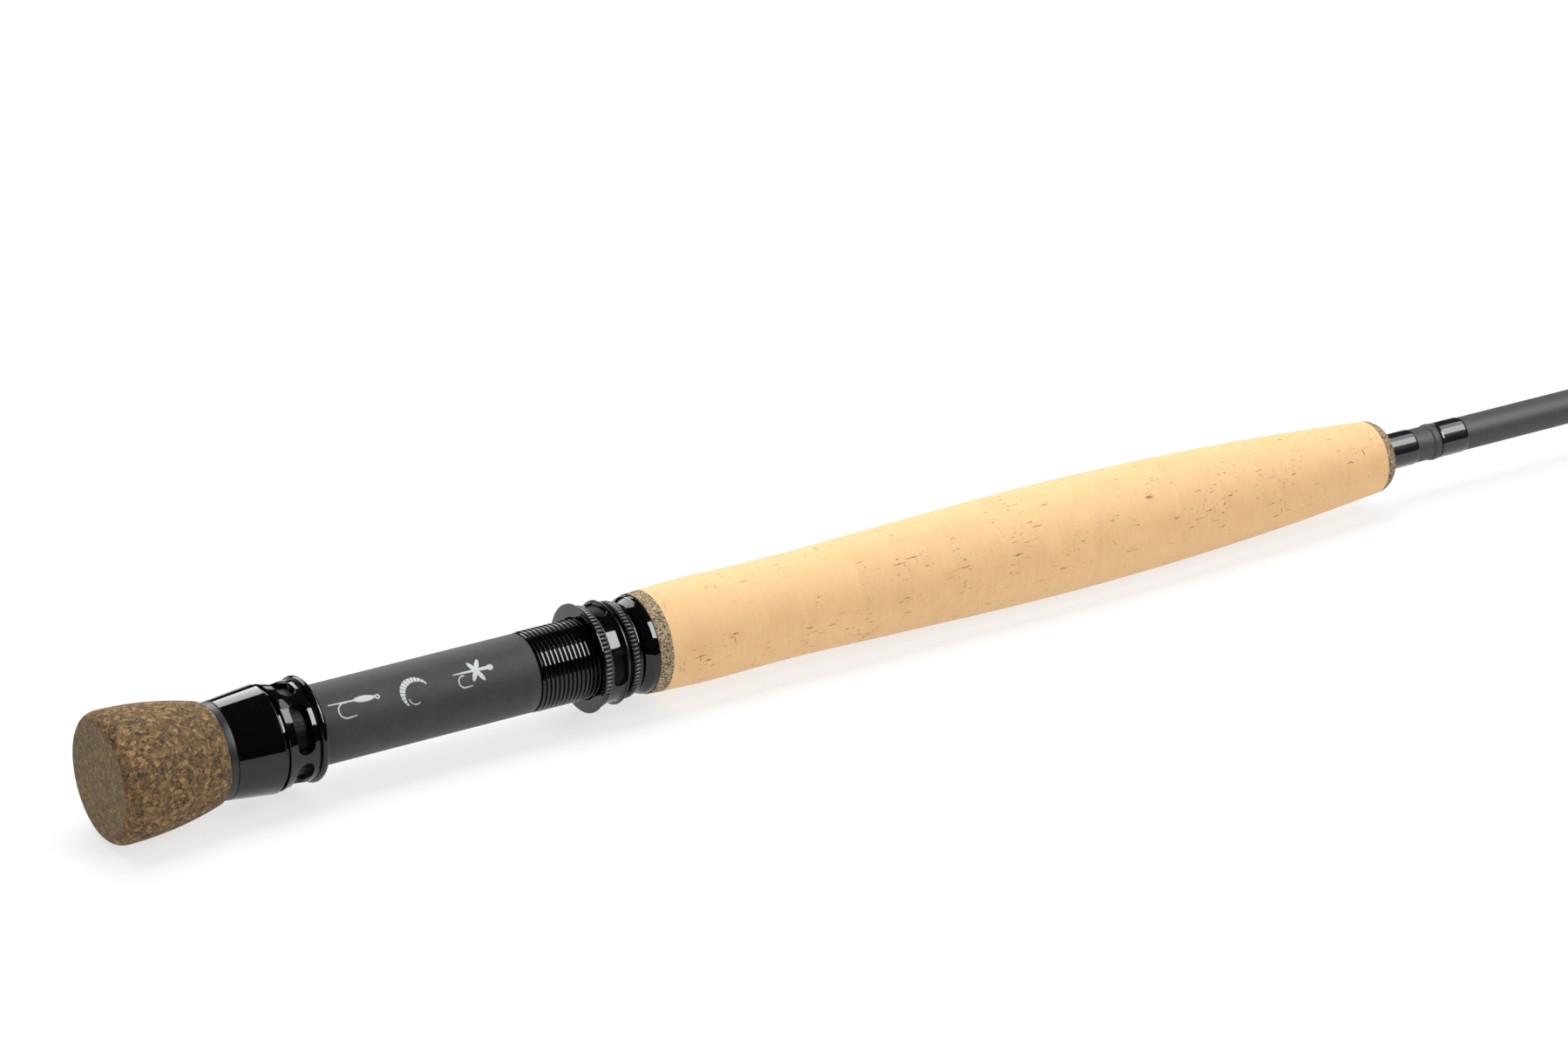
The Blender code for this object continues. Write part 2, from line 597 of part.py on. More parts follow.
def jam_nut(body):
    """The second knurled nut, which locks the first. Its bore clears the crests too."""
    knurl_x = JAM_X + JAM_NECK_LENGTH
    lip_x = knurl_x + JAM_KNURL_LENGTH
    edge = JAM_LIP_LENGTH / 3
    section = [
        (JAM_X, WASHER_RADIUS), (knurl_x, WASHER_RADIUS),
        (knurl_x, JAM_KNURL_RADIUS), (lip_x, JAM_KNURL_RADIUS), (lip_x, JAM_LIP_RADIUS),
        (JAM_END_X - edge, JAM_LIP_RADIUS), (JAM_END_X, JAM_LIP_RADIUS - edge),
        (JAM_END_X, RUNNING_BORE_RADIUS), (JAM_X, RUNNING_BORE_RADIUS),
    ]
    band = (knurl_x, lip_x, JAM_KNURL_RADIUS)
    turned("jam_nut", section, "black_anodised", body, KNURL_SIDES, SEAT_TURN, band)


def seat_collar(body):
    """The fixed collar that closes the thread, with a cone towards the nut."""
    end = REAR_TRIM_X - GLUE_GAP
    cone_end = COLLAR_X + COLLAR_CHAMFER
    bore = THREAD_ROOT_RADIUS + GLUE_GAP
    section = [
        (COLLAR_X + GLUE_GAP, COLLAR_NOSE_RADIUS), (cone_end, COLLAR_RADIUS), (end, COLLAR_RADIUS),
        (end, bore), (COLLAR_X + GLUE_GAP, bore),
    ]
    turned("seat_collar", section, "black_anodised", body, SEAT_SIDES)


def arbors(body):
    """Rings that centre the seat on the handle tube."""
    first = CAP_X + CAP_WALL + ARBOR_SETBACK
    last = THREAD_X - SPIGOT_LENGTH - GLUE_GAP - ARBOR_LENGTH
    step = (last - first) / (BARREL_ARBORS - 1)
    places = [(first + step * i, BARREL_BORE_RADIUS) for i in range(BARREL_ARBORS)]
    places.append((COLLAR_X - ARBOR_LENGTH, SLEEVE_BORE_RADIUS))
    for index, (x, bore) in enumerate(places, 1):
        section = tube_section(x, x + ARBOR_LENGTH, bore - GLUE_GAP, TUBE_HOLE_RADIUS)
        turned(f"seat_arbor_{index}", section, "foam_arbor", body)


def grip(body):
    """Rear trim, a stack of cork rings and front trim, each a ring of its own on the handle tube."""
    rear = tube_section(REAR_TRIM_X, CORK_X - GLUE_GAP, GRIP_REAR_RADIUS, TUBE_HOLE_RADIUS)
    rear[0] = (REAR_TRIM_X, COLLAR_RADIUS + REAR_TRIM_STEP)
    turned("rear_trim_ring", rear, "rubber_cork", body)
    for index in range(CORK_RINGS):
        start = CORK_X + index * CORK_RING_LENGTH
        end = start + CORK_RING_LENGTH - GLUE_GAP
        section = [
            (start, grip_radius(start)), (end, grip_radius(end)),
            (end, TUBE_HOLE_RADIUS), (start, TUBE_HOLE_RADIUS),
        ]
        turned(f"cork_ring_{index + 1:02d}", section, "cork", body)
    bore = FERRULE_RADIUS + GLUE_GAP
    front = [(FRONT_TRIM_X, GRIP_FRONT_RADIUS), *rounded(
        GRIP_END_X, GRIP_FRONT_RADIUS - FRONT_TRIM_TAPER, FRONT_TRIM_ROUND, 1, 3)]
    front += [(GRIP_END_X, bore), (FRONT_TRIM_X, bore)]
    turned("front_trim_ring", front, "rubber_cork", body)


def handle_tube(body):
    start = BUTT_FLOOR + GLUE_GAP
    end = FRONT_TRIM_X - GLUE_GAP
    turned("handle_tube", tube_section(start, end, TUBE_RADIUS, TUBE_BORE_RADIUS), "carbon_tube", body)


def ferrule(name, mouth, tail, tail_radius, body):
    """A female ferrule: a sleeve with a welt at its mouth, and a tail that is glued into the tube."""
    bottom = mouth - FERRULE_DEPTH
    shoulder = bottom - FERRULE_STOP
    start = shoulder - tail
    tail_bore = tail_radius - SLIDE_WALL
    welt_x = mouth - WELT_LENGTH
    swell = WELT_RADIUS - FERRULE_RADIUS
    shares = [i / 4 for i in range(1, 4)]
    bead = [(welt_x + WELT_LENGTH * a, FERRULE_RADIUS + swell * math.sin(math.pi * a)) for a in shares]
    section = [(start, tail_radius)]
    if tail_radius < FERRULE_RADIUS:
        section += [(shoulder, tail_radius), (shoulder, FERRULE_RADIUS)]
    section += [(welt_x, FERRULE_RADIUS), *bead, (mouth, FERRULE_RADIUS)]
    section += [(mouth, FERRULE_BORE_RADIUS), (bottom, FERRULE_BORE_RADIUS)]
    section += [(bottom, tail_bore), (start, tail_bore)]
    turned(name, section, "satin_ferrule", body)


def binding(name, start, end, radius, body):
    """A varnished thread binding with thin ends."""
    inner = radius + BINDING_FIT
    outer = inner + BINDING_THICKNESS
    thin = inner + BINDING_THICKNESS / 2
    fade = 3 * BINDING_THICKNESS
    section = [
        (start, thin), (start + fade, outer), (end - fade, outer), (end, thin), (end, inner), (start, inner),
    ]
    turned(name, section, "gloss_binding", body)


def handle_joint(body):
    """The ferrule at the front of the handle and the binding over it."""
    ferrule("handle_ferrule", MOUTH_X, FERRULE_TAIL, FERRULE_RADIUS, body)
    start = GRIP_END_X + GLUE_GAP
    binding("handle_binding", start, start + REAR_BINDING_LENGTH, FERRULE_RADIUS, body)


def plug_in_section(body):
    """The section that plugs into the handle and carries a ferrule of the same size at its other end."""
    joint_x = FRONT_MOUTH_X - FERRULE_DEPTH - FERRULE_STOP
    end = joint_x - GLUE_GAP
    slide_x = MOUTH_X - FERRULE_DEPTH + SLIDE_END_GAP
    slide = tube_section(slide_x, SECTION_X + SLIDE_GLUED, SLIDE_RADIUS, SLIDE_RADIUS - SLIDE_WALL)
    turned("male_ferrule", slide, "satin_ferrule", body)
    blank = [
        (SECTION_X, SECTION_REAR_RADIUS), (end, SECTION_FRONT_RADIUS),
        (end, SECTION_BORE_RADIUS), (SECTION_X, SECTION_BORE_RADIUS),
    ]
    turned("section_blank", blank, "carbon_tube", body)
    binding("male_binding", SECTION_X, SECTION_X + MALE_BINDING_LENGTH, SECTION_REAR_RADIUS, body)
    ferrule("front_ferrule", FRONT_MOUTH_X, SLIDE_GLUED, SLIDE_RADIUS, body)
    front = FRONT_MOUTH_X - SLEEVE_SHOWS
    binding("front_binding", front - FRONT_BINDING_LENGTH, front, FERRULE_RADIUS, body)


def main():
    clear_scene()
    handle = empty("handle_frame", 0.0)
    hood = empty("sliding_hood_frame", SLIDING_MOUTH_X, handle)
    nut = empty("locking_nut_frame", NUT_X, hood)
    jam = empty("jam_nut_frame", JAM_X, hood)
    section = empty("section_frame", MOUTH_X, handle)
    for make in (fighting_butt, butt_ring, butt_cap, fixed_hood, seat_barrel, threaded_sleeve,
                 seat_collar, arbors, handle_tube, grip, handle_joint):
        make(handle)
    sliding_hood(hood)
    locking_nut(nut)
    slip_washer(nut)
    jam_nut(jam)
    plug_in_section(section)
    bpy.context.view_layer.update()


main()
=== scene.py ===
# %% [markdown]
# # The looks of a fly rod's handle
#
# A fly rod's handle is a row of turned pieces on one carbon tube: a butt of composite cork, a gloss black
# reel seat, sixteen cork rings sanded to one long shape, and a slim ferrule for the next section. The
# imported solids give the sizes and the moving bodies. This script gives each piece a fine surface and its
# own finish.
#
# Every piece turns about the rod's axis, which is the X axis. So nearly all shapes here are one idea: a
# profile of (x, radius) points carried round the axis, with the radius free to change with the angle where
# a piece has windows, a knurl, a thread or a pocket.

# %% Load the frame
import math
from math import radians

import bmesh
import bpy
import numpy as np
from mathutils import Matrix, Vector


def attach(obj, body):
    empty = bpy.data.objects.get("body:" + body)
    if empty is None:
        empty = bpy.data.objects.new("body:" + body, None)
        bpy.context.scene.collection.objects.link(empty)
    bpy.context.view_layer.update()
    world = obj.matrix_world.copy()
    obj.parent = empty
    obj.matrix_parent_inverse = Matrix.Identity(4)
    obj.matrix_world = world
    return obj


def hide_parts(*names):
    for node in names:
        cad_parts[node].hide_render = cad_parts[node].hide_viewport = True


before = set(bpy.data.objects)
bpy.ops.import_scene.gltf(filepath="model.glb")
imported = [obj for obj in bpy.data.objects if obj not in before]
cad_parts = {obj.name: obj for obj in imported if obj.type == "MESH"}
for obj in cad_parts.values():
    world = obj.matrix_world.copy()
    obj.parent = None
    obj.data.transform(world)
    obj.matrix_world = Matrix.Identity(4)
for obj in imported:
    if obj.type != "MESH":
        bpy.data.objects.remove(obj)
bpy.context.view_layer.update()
MM = 0.001

# %% [markdown]
# ## Places come from the frame
#
# Each CAD node says where its piece starts and ends along the rod and how far it reaches from the axis.
# Reading these keeps the looks in step with the solids. The solids are faceted, so their corners lie on the
# true circle.

# %% Read where a piece is
def span(node):
    """Start, end and outer radius of a CAD node in millimetres, from its own corners."""
    corners = np.array([vertex.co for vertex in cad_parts[node].data.vertices]) / MM
    radius = np.hypot(corners[:, 1], corners[:, 2]).max()
    return corners[:, 0].min(), corners[:, 0].max(), radius


SEAT_SIDE = radians(28.0)
TUBE_BORE = 5.5
HAIRLINE = 0.01
print("butt, grip start, tip:", span("fighting_butt")[:2], span("cork_ring_01")[0], span("front_ferrule")[1])

# %% [markdown]
# ## Surfaces from arrays
#
# A turned piece is a grid: one row for each point of its profile and one column for each angle. numpy works
# out all the points at once, and the mesh takes the arrays directly. The angle is counted up from the side
# that faces the viewer, so that it grows from -Y to +Z.

# %% Carry a profile round the axis
def ring_angles(count):
    """count equal steps round the circle, starting at the side that takes the reel."""
    return SEAT_SIDE + np.arange(count) * (2 * np.pi / count)


def carry_round(x, radius, angles):
    """Points (x, -radius cos angle, radius sin angle), for arrays that broadcast to rows by columns."""
    x, radius, angles = np.broadcast_arrays(x, radius, angles)
    return np.stack([x, -radius * np.cos(angles), radius * np.sin(angles)], axis=-1)


def grid_faces(rows, columns, closed_rows):
    """Four corners of each cell. Columns always wrap round, and rows do when the profile is a closed loop."""
    i = np.arange(rows if closed_rows else rows - 1)[:, None]
    j = np.arange(columns)[None, :]
    below, beside = (i + 1) % rows, (j + 1) % columns
    corners = [i * columns + j, below * columns + j, below * columns + beside, i * columns + beside]
    return np.stack(np.broadcast_arrays(*corners), axis=-1).reshape(-1, 4)


def mesh_from(name, points, faces, values=None):
    """A mesh of these points and faces, its doubles merged, shaded smooth with crisp edges kept."""
    mesh = bpy.data.meshes.new(name)
    mesh.from_pydata(points.reshape(-1, 3), [], faces.tolist())
    for key, amounts in (values or {}).items():
        attribute = mesh.attributes.new(key, "FLOAT", "POINT")
        attribute.data.foreach_set("value", np.asarray(amounts, np.float32).ravel())
    merged = bmesh.new()
    merged.from_mesh(mesh)
    bmesh.ops.remove_doubles(merged, verts=merged.verts, dist=1e-7)
    bmesh.ops.dissolve_degenerate(merged, edges=merged.edges, dist=1e-8)
    merged.to_mesh(mesh)
    merged.free()
    mesh.shade_smooth()
    mesh.set_sharp_from_angle(angle=radians(40.0))
    return mesh


def round_mesh(name, x, radius, angles, closed_rows=True, values=None):
    """The mesh of a profile in millimetres carried round the axis. Each x has one radius, or a row."""
    radius = radius if radius.ndim == 2 else radius[:, None]
    points = carry_round(x[:, None] * MM, radius * MM, angles[None, :])
    return mesh_from(name, points, grid_faces(len(x), len(angles), closed_rows), values)


# %% [markdown]
# ## Profiles with softened corners
#
# Real edges are never perfectly sharp, and the small round at each corner is what catches the light. A
# profile here is a short list of corners, each with the size of its round. An arc of a few points replaces
# each corner.

# %% Round the corners of a profile
def rounded(corners, steps=4):
    """The closed loop of (x, radius, round) corners, as arrays of x and radius in millimetres.

    Each corner becomes a curve between the points where its round begins and ends: a quadratic blend
    (1-t)^2 A + 2t(1-t) corner + t^2 B, which is close to an arc.
    """
    points = []
    count = len(corners)
    for index, (x, radius, size) in enumerate(corners):
        here = np.array([x, radius])
        ends = [np.array(corners[(index + side) % count][:2]) - here for side in (-1, 1)]
        if size <= 0.0:
            points.append(here[None, :])
            continue
        a, b = (here + end / np.hypot(*end) * min(size, 0.45 * np.hypot(*end)) for end in ends)
        t = np.linspace(0.0, 1.0, steps + 1)[:, None]
        points.append((1 - t) ** 2 * a + 2 * t * (1 - t) * here + t**2 * b)
    loop = np.concatenate(points)
    return loop[:, 0], loop[:, 1]


def flowing(knots, x):
    """A smooth curve through (x, radius) knots: cubic pieces that slope as each knot's neighbours do."""
    at, height = np.array(knots, float).T
    slope = np.gradient(height, at)
    index = np.clip(np.searchsorted(at, x) - 1, 0, len(at) - 2)
    width = at[index + 1] - at[index]
    t = (x - at[index]) / width
    return (
        (1 + 2 * t) * (1 - t) ** 2 * height[index]
        + t * (1 - t) ** 2 * width * slope[index]
        + t**2 * (3 - 2 * t) * height[index + 1]
        - t**2 * (1 - t) * width * slope[index + 1]
    )


# %% [markdown]
# ## From a surface to a piece
#
# A finished piece gets its material, moves with one body, and stands for the CAD node that it covers.

# %% Finish a piece
def new_object(name, data):
    """An object for this data, in the scene."""
    made = bpy.data.objects.new(name, data)
    bpy.context.scene.collection.objects.link(made)
    return made


def piece(mesh, materials, body, node):
    """An object with this mesh and its name, which rides on a body and stands for a CAD node."""
    made = new_object(mesh.name, mesh)
    for material in materials:
        mesh.materials.append(material)
    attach(made, body)
    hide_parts(node)
    print(f"{mesh.name}: {len(mesh.polygons)} faces")


def paint_faces(mesh, choose):
    """Gives each face the material whose number choose returns for its x and radius in millimetres."""
    centres = np.zeros(len(mesh.polygons) * 3)
    mesh.polygons.foreach_get("center", centres)
    number = choose(centres[::3] / MM, np.hypot(centres[1::3], centres[2::3]) / MM)
    mesh.polygons.foreach_set("material_index", number.astype(np.int32))


def turned(name, corners, material, body, node, columns=192):
    """A plain ring from a closed loop of (x, radius, round) corners in millimetres."""
    x, radius = rounded(corners)
    piece(round_mesh(name, x, radius, ring_angles(columns)), [material], body, node)


# %% [markdown]
# ## A short way to write materials
#
# A procedural finish is a small graph: a coordinate feeds some noise, the noise feeds a ramp of colours,
# and the same noise lifts or sinks the surface through a Bump node. These helpers keep each finish to a few
# lines.

# %% Build shader graphs
class Finish:
    """A material under construction: its tree, its shader, and a shape's own coordinates in millimetres."""

    def __init__(self, name, roughness, colour=(0.5, 0.5, 0.5), shift=(0.0, 0.0, 0.0)):
        self.material = bpy.data.materials.new(name)
        self.material.use_nodes = True
        self.tree = self.material.node_tree
        self.shader = self.tree.nodes["Principled BSDF"]
        self.shader.inputs["Base Color"].default_value = (*colour, 1.0)
        self.shader.inputs["Roughness"].default_value = roughness
        own = self.add("TexCoord").outputs["Object"]
        sockets = {"Vector": own, "Scale": (1 / MM,) * 3, "Location": shift}
        self.place = self.add("Mapping", sockets).outputs[0]

    def add(self, kind, sockets=None, **settings):
        """A shader node of this kind. A socket takes a value, or another node's output."""
        made = self.tree.nodes.new("ShaderNode" + kind)
        for key, value in settings.items():
            setattr(made, key, value)
        for key, value in (sockets or {}).items():
            if isinstance(value, bpy.types.NodeSocket):
                self.tree.links.new(value, made.inputs[key])
            else:
                made.inputs[key].default_value = value
        return made

    def stretched(self, scale):
        """The coordinates in millimetres, scaled along each axis."""
        return self.add("Mapping", {"Vector": self.place, "Scale": scale}).outputs[0]

    def noise(self, scale, detail=2.0, rough=0.5, vector=None):
        """Soft noise from 0 to 1, with about this many features in a millimetre."""
        sockets = {"Vector": vector or self.place, "Scale": scale, "Detail": detail, "Roughness": rough}
        return self.add("TexNoise", sockets).outputs["Fac"]

    def chips(self, scale, vector=None, output="Color"):
        """Random cells, as packed grains are, with about this many in a millimetre."""
        sockets = {"Vector": vector or self.place, "Scale": scale}
        return self.add("TexVoronoi", sockets).outputs[output]

    def ramp(self, amount, *stops):
        """Colours or grey levels along 0 to 1. Each stop is (place, colour) or (place, level)."""
        made = self.add("ValToRGB", {"Fac": amount})
        scale = made.color_ramp
        while len(scale.elements) < len(stops):
            scale.elements.new(0.5)
        for element, (place, colour) in zip(scale.elements, stops):
            element.position = place
            element.color = (colour,) * 3 + (1.0,) if isinstance(colour, float) else (*colour, 1.0)
        return made.outputs["Color"]

    def mix(self, amount, a, b, how="MIX"):
        """Colour a changed towards colour b."""
        a, b = ((*colour, 1.0) if isinstance(colour, tuple) else colour for colour in (a, b))
        sockets = {0: amount, 6: a, 7: b}
        return self.add("Mix", sockets, data_type="RGBA", blend_type=how).outputs[2]

    def maths(self, how, a, b=0.0):
        """Arithmetic on two amounts."""
        return self.add("Math", {0: a, 1: b}, operation=how).outputs[0]

    def vector(self, how, sockets):
        """Arithmetic on vectors."""
        return self.add("VectorMath", sockets, operation=how).outputs[0]

    def along(self):
        """The place along the rod, in millimetres."""
        return self.add("SeparateXYZ", {"Vector": self.place}).outputs["X"]

    def first_channel(self, colour):
        """One of a colour's three amounts."""
        return self.add("SeparateColor", {"Color": colour}).outputs[0]

    def wobbled(self, amount, scale):
        """The coordinates pushed about by noise, so that cells lose their straight sides."""
        sockets = {"Vector": self.place, "Scale": scale, "Detail": 2.0}
        push = self.add("TexNoise", sockets).outputs["Color"]
        centred = self.vector("SUBTRACT", {0: push, 1: (0.5,) * 3})
        scaled = self.vector("SCALE", {0: centred, "Scale": amount})
        return self.vector("ADD", {0: self.place, 1: scaled})

    def done(self, colour=None, roughness=None, height=None, depth=0.05, **constants):
        """Wires what varies to the shader, and sets the rest on its own sockets. depth is in millimetres."""
        normal = None
        if height is not None:
            normal = self.add("Bump", {"Height": height, "Distance": depth * MM}).outputs[0]
        for socket, value in (("Base Color", colour), ("Roughness", roughness), ("Normal", normal)):
            if value is not None:
                self.tree.links.new(value, self.shader.inputs[socket])
        for key, value in constants.items():
            self.shader.inputs[key.replace("_", " ")].default_value = value
        return self.material


# %% [markdown]
# ## Composite cork of the butt
#
# The butt is made of cork chips pressed together with a dark binder. Up close it shows angular chips about
# one millimetre across, from honey to dark brown, with darker flecks of bark. Voronoi cells give each chip
# one colour of its own, and pushing the coordinates about first breaks up their straight sides.

# %% Burl cork
def burl_cork():
    finish = Finish("burl_cork", 0.8)
    wobbly = finish.wobbled(0.9, 1.1)
    large = finish.first_channel(finish.chips(1.15, wobbly))
    small = finish.first_channel(finish.chips(2.7, wobbly))
    chip = finish.ramp(
        large, (0.0, (0.040, 0.026, 0.014)), (0.3, (0.082, 0.050, 0.023)), (0.6, (0.150, 0.092, 0.040)),
        (0.85, (0.290, 0.172, 0.070)), (1.0, (0.440, 0.270, 0.115)),
    )
    grain = finish.ramp(
        small, (0.0, (0.032, 0.023, 0.014)), (0.5, (0.14, 0.088, 0.040)), (1.0, (0.38, 0.23, 0.098)),
    )
    mixed = finish.mix(0.42, chip, grain)
    fleck = finish.ramp(finish.noise(0.55, 3.0, 0.6), (0.32, 0.0), (0.42, 1.0))
    colour = finish.mix(fleck, (0.045, 0.030, 0.020), mixed)
    end_face = finish.ramp(finish.maths("MULTIPLY", finish.along(), 0.1), (0.0, 0.55), (0.02, 0.0))
    dust = finish.ramp(small, (0.0, (0.100, 0.077, 0.046)), (1.0, (0.215, 0.165, 0.098)))
    colour = finish.mix(end_face, colour, dust)
    seam = finish.chips(1.15, wobbly, "Distance")
    height = finish.maths("ADD", finish.maths("MULTIPLY", small, 0.5), finish.maths("MULTIPLY", seam, -0.6))
    return finish.done(colour, height=height, depth=0.09, Specular_IOR_Level=0.25)


BURL = burl_cork()

# %% [markdown]
# ## Natural cork of the grip
#
# Good cork is smooth and pale, with faint growth lines that run round the grip, a few thin dark dashes that
# run along it or across it, and a little powdery softness. Each ring is cut from another piece of bark, so
# each gets its own shift of the pattern and its own slight tone. The seams between the rings are close to
# invisible, as on a sanded grip.

# %% Grip cork
def grip_cork(index, rng):
    shift = tuple(rng.uniform(-400.0, 400.0, 3))
    tone = rng.uniform(0.975, 1.02)
    finish = Finish(f"cork_{index:02d}", 0.62, shift=shift)
    cloud = finish.noise(0.16, 4.0, 0.55)
    lines = finish.noise(1.0, 3.0, 0.6, finish.stretched((1.6, 0.18, 0.18)))
    warm = (0.815 * tone, 0.523 * tone, 0.248 * tone)
    deep = (0.770 * tone, 0.470 * tone, 0.214 * tone)
    base = finish.mix(finish.ramp(cloud, (0.3, 0.0), (0.7, 1.0)), deep, warm)
    streaked = finish.mix(finish.ramp(lines, (0.42, 0.0), (0.76, 0.22)), base, (0.62, 0.36, 0.17))
    along = finish.noise(1.0, 2.0, 0.5, finish.stretched((0.36, 2.3, 2.3)))
    across = finish.noise(1.0, 2.0, 0.5, finish.stretched((2.6, 0.50, 0.50)))
    dashes = finish.ramp(along, (0.650, 0.0), (0.700, 1.0))
    ticks = finish.ramp(across, (0.680, 0.0), (0.730, 1.0))
    pit = finish.mix(1.0, dashes, ticks, "LIGHTEN")
    patches = finish.ramp(finish.noise(0.12, 1.0), (0.46, 0.0), (0.60, 1.0))
    dark = finish.mix(1.0, pit, patches, "MULTIPLY")
    colour = finish.mix(dark, streaked, (0.27, 0.15, 0.075))
    height = finish.maths("SUBTRACT", finish.maths("MULTIPLY", lines, 0.18), finish.first_channel(dark))
    rough = finish.ramp(cloud, (0.2, 0.55), (0.8, 0.72))
    return finish.done(colour, rough, height, 0.05, Specular_IOR_Level=0.3, Sheen_Weight=0.14)


# %% [markdown]
# ## Rubber cork of the trim rings
#
# A harder ring at each end of the grip guards the soft cork. It is ground cork and dark rubber, so it shows
# small grains of tan, straw and olive black.

# %% Rubber cork
def rubber_cork(name, shade):
    finish = Finish(name, 0.78)
    wobbly = finish.wobbled(0.5, 2.0)
    grain = finish.first_channel(finish.chips(3.2, wobbly))
    dark, olive, tan, straw = (tuple(shade * c for c in colour) for colour in (
        (0.080, 0.063, 0.040), (0.225, 0.165, 0.103), (0.450, 0.325, 0.190), (0.640, 0.480, 0.300)))
    colour = finish.ramp(grain, (0.05, dark), (0.30, olive), (0.60, tan), (1.0, straw))
    blots = finish.ramp(finish.noise(2.4, 3.0), (0.36, 1.0), (0.46, 0.0))
    mottled = finish.mix(blots, colour, tuple(0.9 * c for c in dark))
    return finish.done(mottled, height=grain, depth=0.06, Specular_IOR_Level=0.3)


REAR_TRIM = rubber_cork("rear_rubber_cork", 0.90)
FRONT_TRIM = rubber_cork("front_rubber_cork", 0.82)

# %% [markdown]
# ## Blacks and greys of the reel seat
#
# The hoods, nuts, collar and thread are black and glossy: nearly all of their look is what they reflect.
# The faint cloud in the roughness is handling haze. The barrel is matt carbon composite, dark grey, with a
# soft cloudiness, and its figures are printed in pale grey ink.

# %% Gloss black
def gloss_black(name="gloss_black", low=0.045, high=0.085, colour=(0.0018, 0.0018, 0.0020)):
    finish = Finish(name, low, colour)
    haze = finish.ramp(finish.noise(0.35, 3.0), (0.35, low), (0.75, high))
    return finish.done(roughness=haze, Specular_IOR_Level=0.46)


GLOSS = gloss_black()
# Painted highlight: the knurls' ridges get a pale grey colour for the light that their sloping flanks catch.
PAINTED_HIGHLIGHT_RIDGES = gloss_black("ridge_painted_highlight", 0.26, 0.36, (0.060, 0.060, 0.062))

# %% Painted shade: a black that hardly reflects, at the bottom of the windows and in the knurls' grooves
def shaded_black():
    finish = Finish("shaded_black", 0.5, (0.0015, 0.0015, 0.0016))
    streaks = finish.noise(1.0, 3.0, 0.6, finish.stretched((0.6, 4.0, 4.0)))
    rough = finish.ramp(streaks, (0.4, 0.30), (0.7, 0.60))
    return finish.done(roughness=rough, Specular_IOR_Level=0.10)


PAINTED_SHADE_BLACK = shaded_black()

# %% Matt carbon, with ink where the piece says so
def printed_carbon():
    finish = Finish("printed_carbon", 0.5)
    cloud = finish.noise(0.3, 4.0, 0.6)
    base = finish.ramp(cloud, (0.3, (0.026, 0.026, 0.027)), (0.7, (0.036, 0.036, 0.037)))
    speck = finish.noise(6.0, 2.0, 0.6, finish.stretched((0.6, 1.0, 1.0)))
    colour = finish.mix(finish.ramp(speck, (0.5, 0.0), (0.8, 0.25)), base, (0.06, 0.06, 0.06))
    edge = finish.add("Attribute", attribute_name="ink").outputs["Fac"]
    worn = finish.maths("MULTIPLY", finish.noise(3.5, 3.0), 0.05)
    ink = finish.ramp(finish.maths("SUBTRACT", edge, worn), (0.44, 0.0), (0.52, 1.0))
    colour = finish.mix(ink, colour, (0.52, 0.56, 0.55))
    rough = finish.ramp(speck, (0.3, 0.54), (0.7, 0.68))
    return finish.done(colour, rough, speck, 0.012, Specular_IOR_Level=0.25, Sheen_Weight=0.16)


BARREL = printed_carbon()

# %% [markdown]
# ## Blank, bindings and the small parts
#
# The blank and the ferrules are sanded carbon, a warm matt grey with faint lines round them. The bindings
# are black thread under varnish: a deep gloss over fine turns that can just be seen. The nylon washer, the
# grey ring and the foam arbors inside are plain plastics with a little grain.

# %% Sanded carbon tube
def sanded_tube():
    finish = Finish("sanded_tube", 0.4)
    rings = finish.noise(1.0, 4.0, 0.65, finish.stretched((5.0, 0.35, 0.35)))
    colour = finish.ramp(rings, (0.3, (0.044, 0.042, 0.041)), (0.7, (0.064, 0.062, 0.061)))
    rough = finish.ramp(rings, (0.3, 0.42), (0.7, 0.55))
    return finish.done(colour, rough, rings, 0.010, Specular_IOR_Level=0.28)


TUBE = sanded_tube()

# %% Varnished thread
THREADS_PER_MM = 5.0


def varnished_thread():
    finish = Finish("varnished_thread", 0.3, (0.006, 0.006, 0.007))
    turns = finish.maths("SINE", finish.maths("MULTIPLY", finish.along(), 2 * math.pi * THREADS_PER_MM))
    colour = finish.ramp(turns, (0.0, (0.004, 0.004, 0.005)), (1.0, (0.013, 0.013, 0.015)))
    ripple = finish.noise(0.28, 1.0, vector=finish.stretched((1.0, 0.6, 0.6)))
    return finish.done(
        colour, height=ripple, depth=0.035, Coat_Weight=1.0, Coat_Roughness=0.03,
        Specular_IOR_Level=0.15,
    )


VARNISH = varnished_thread()

# %% Plain plastics
def grained(name, colour, roughness, scale, depth):
    finish = Finish(name, roughness)
    grain = finish.noise(scale, 3.0)
    dark = tuple(0.8 * c for c in colour)
    shade = finish.ramp(grain, (0.35, dark), (0.65, colour))
    return finish.done(shade, height=grain, depth=depth)


GREY_RING = grained("matt_grey", (0.013, 0.013, 0.015), 0.42, 2.0, 0.01)
NYLON = grained("black_nylon", (0.012, 0.012, 0.012), 0.35, 2.0, 0.01)
FOAM = grained("rigid_foam", (0.45, 0.45, 0.42), 0.9, 3.0, 0.10)

# %% [markdown]
# ## Fighting butt
#
# The butt is turned on a lathe: a flat end, a round rim, and sides that draw in along a gentle curve to the
# seat. Its profile starts and ends on the axis, so the piece is solid but for the blind hole that takes the
# tube.

# %% Make the butt
_, BUTT_END, BUTT_RADIUS = span("fighting_butt")
BUTT_RIM_LENGTH = 2.9
BUTT_RIM_HEIGHT = 2.4
BUTT_DRAW_IN = 3.45
BUTT_HOLE_BOTTOM = 8.0


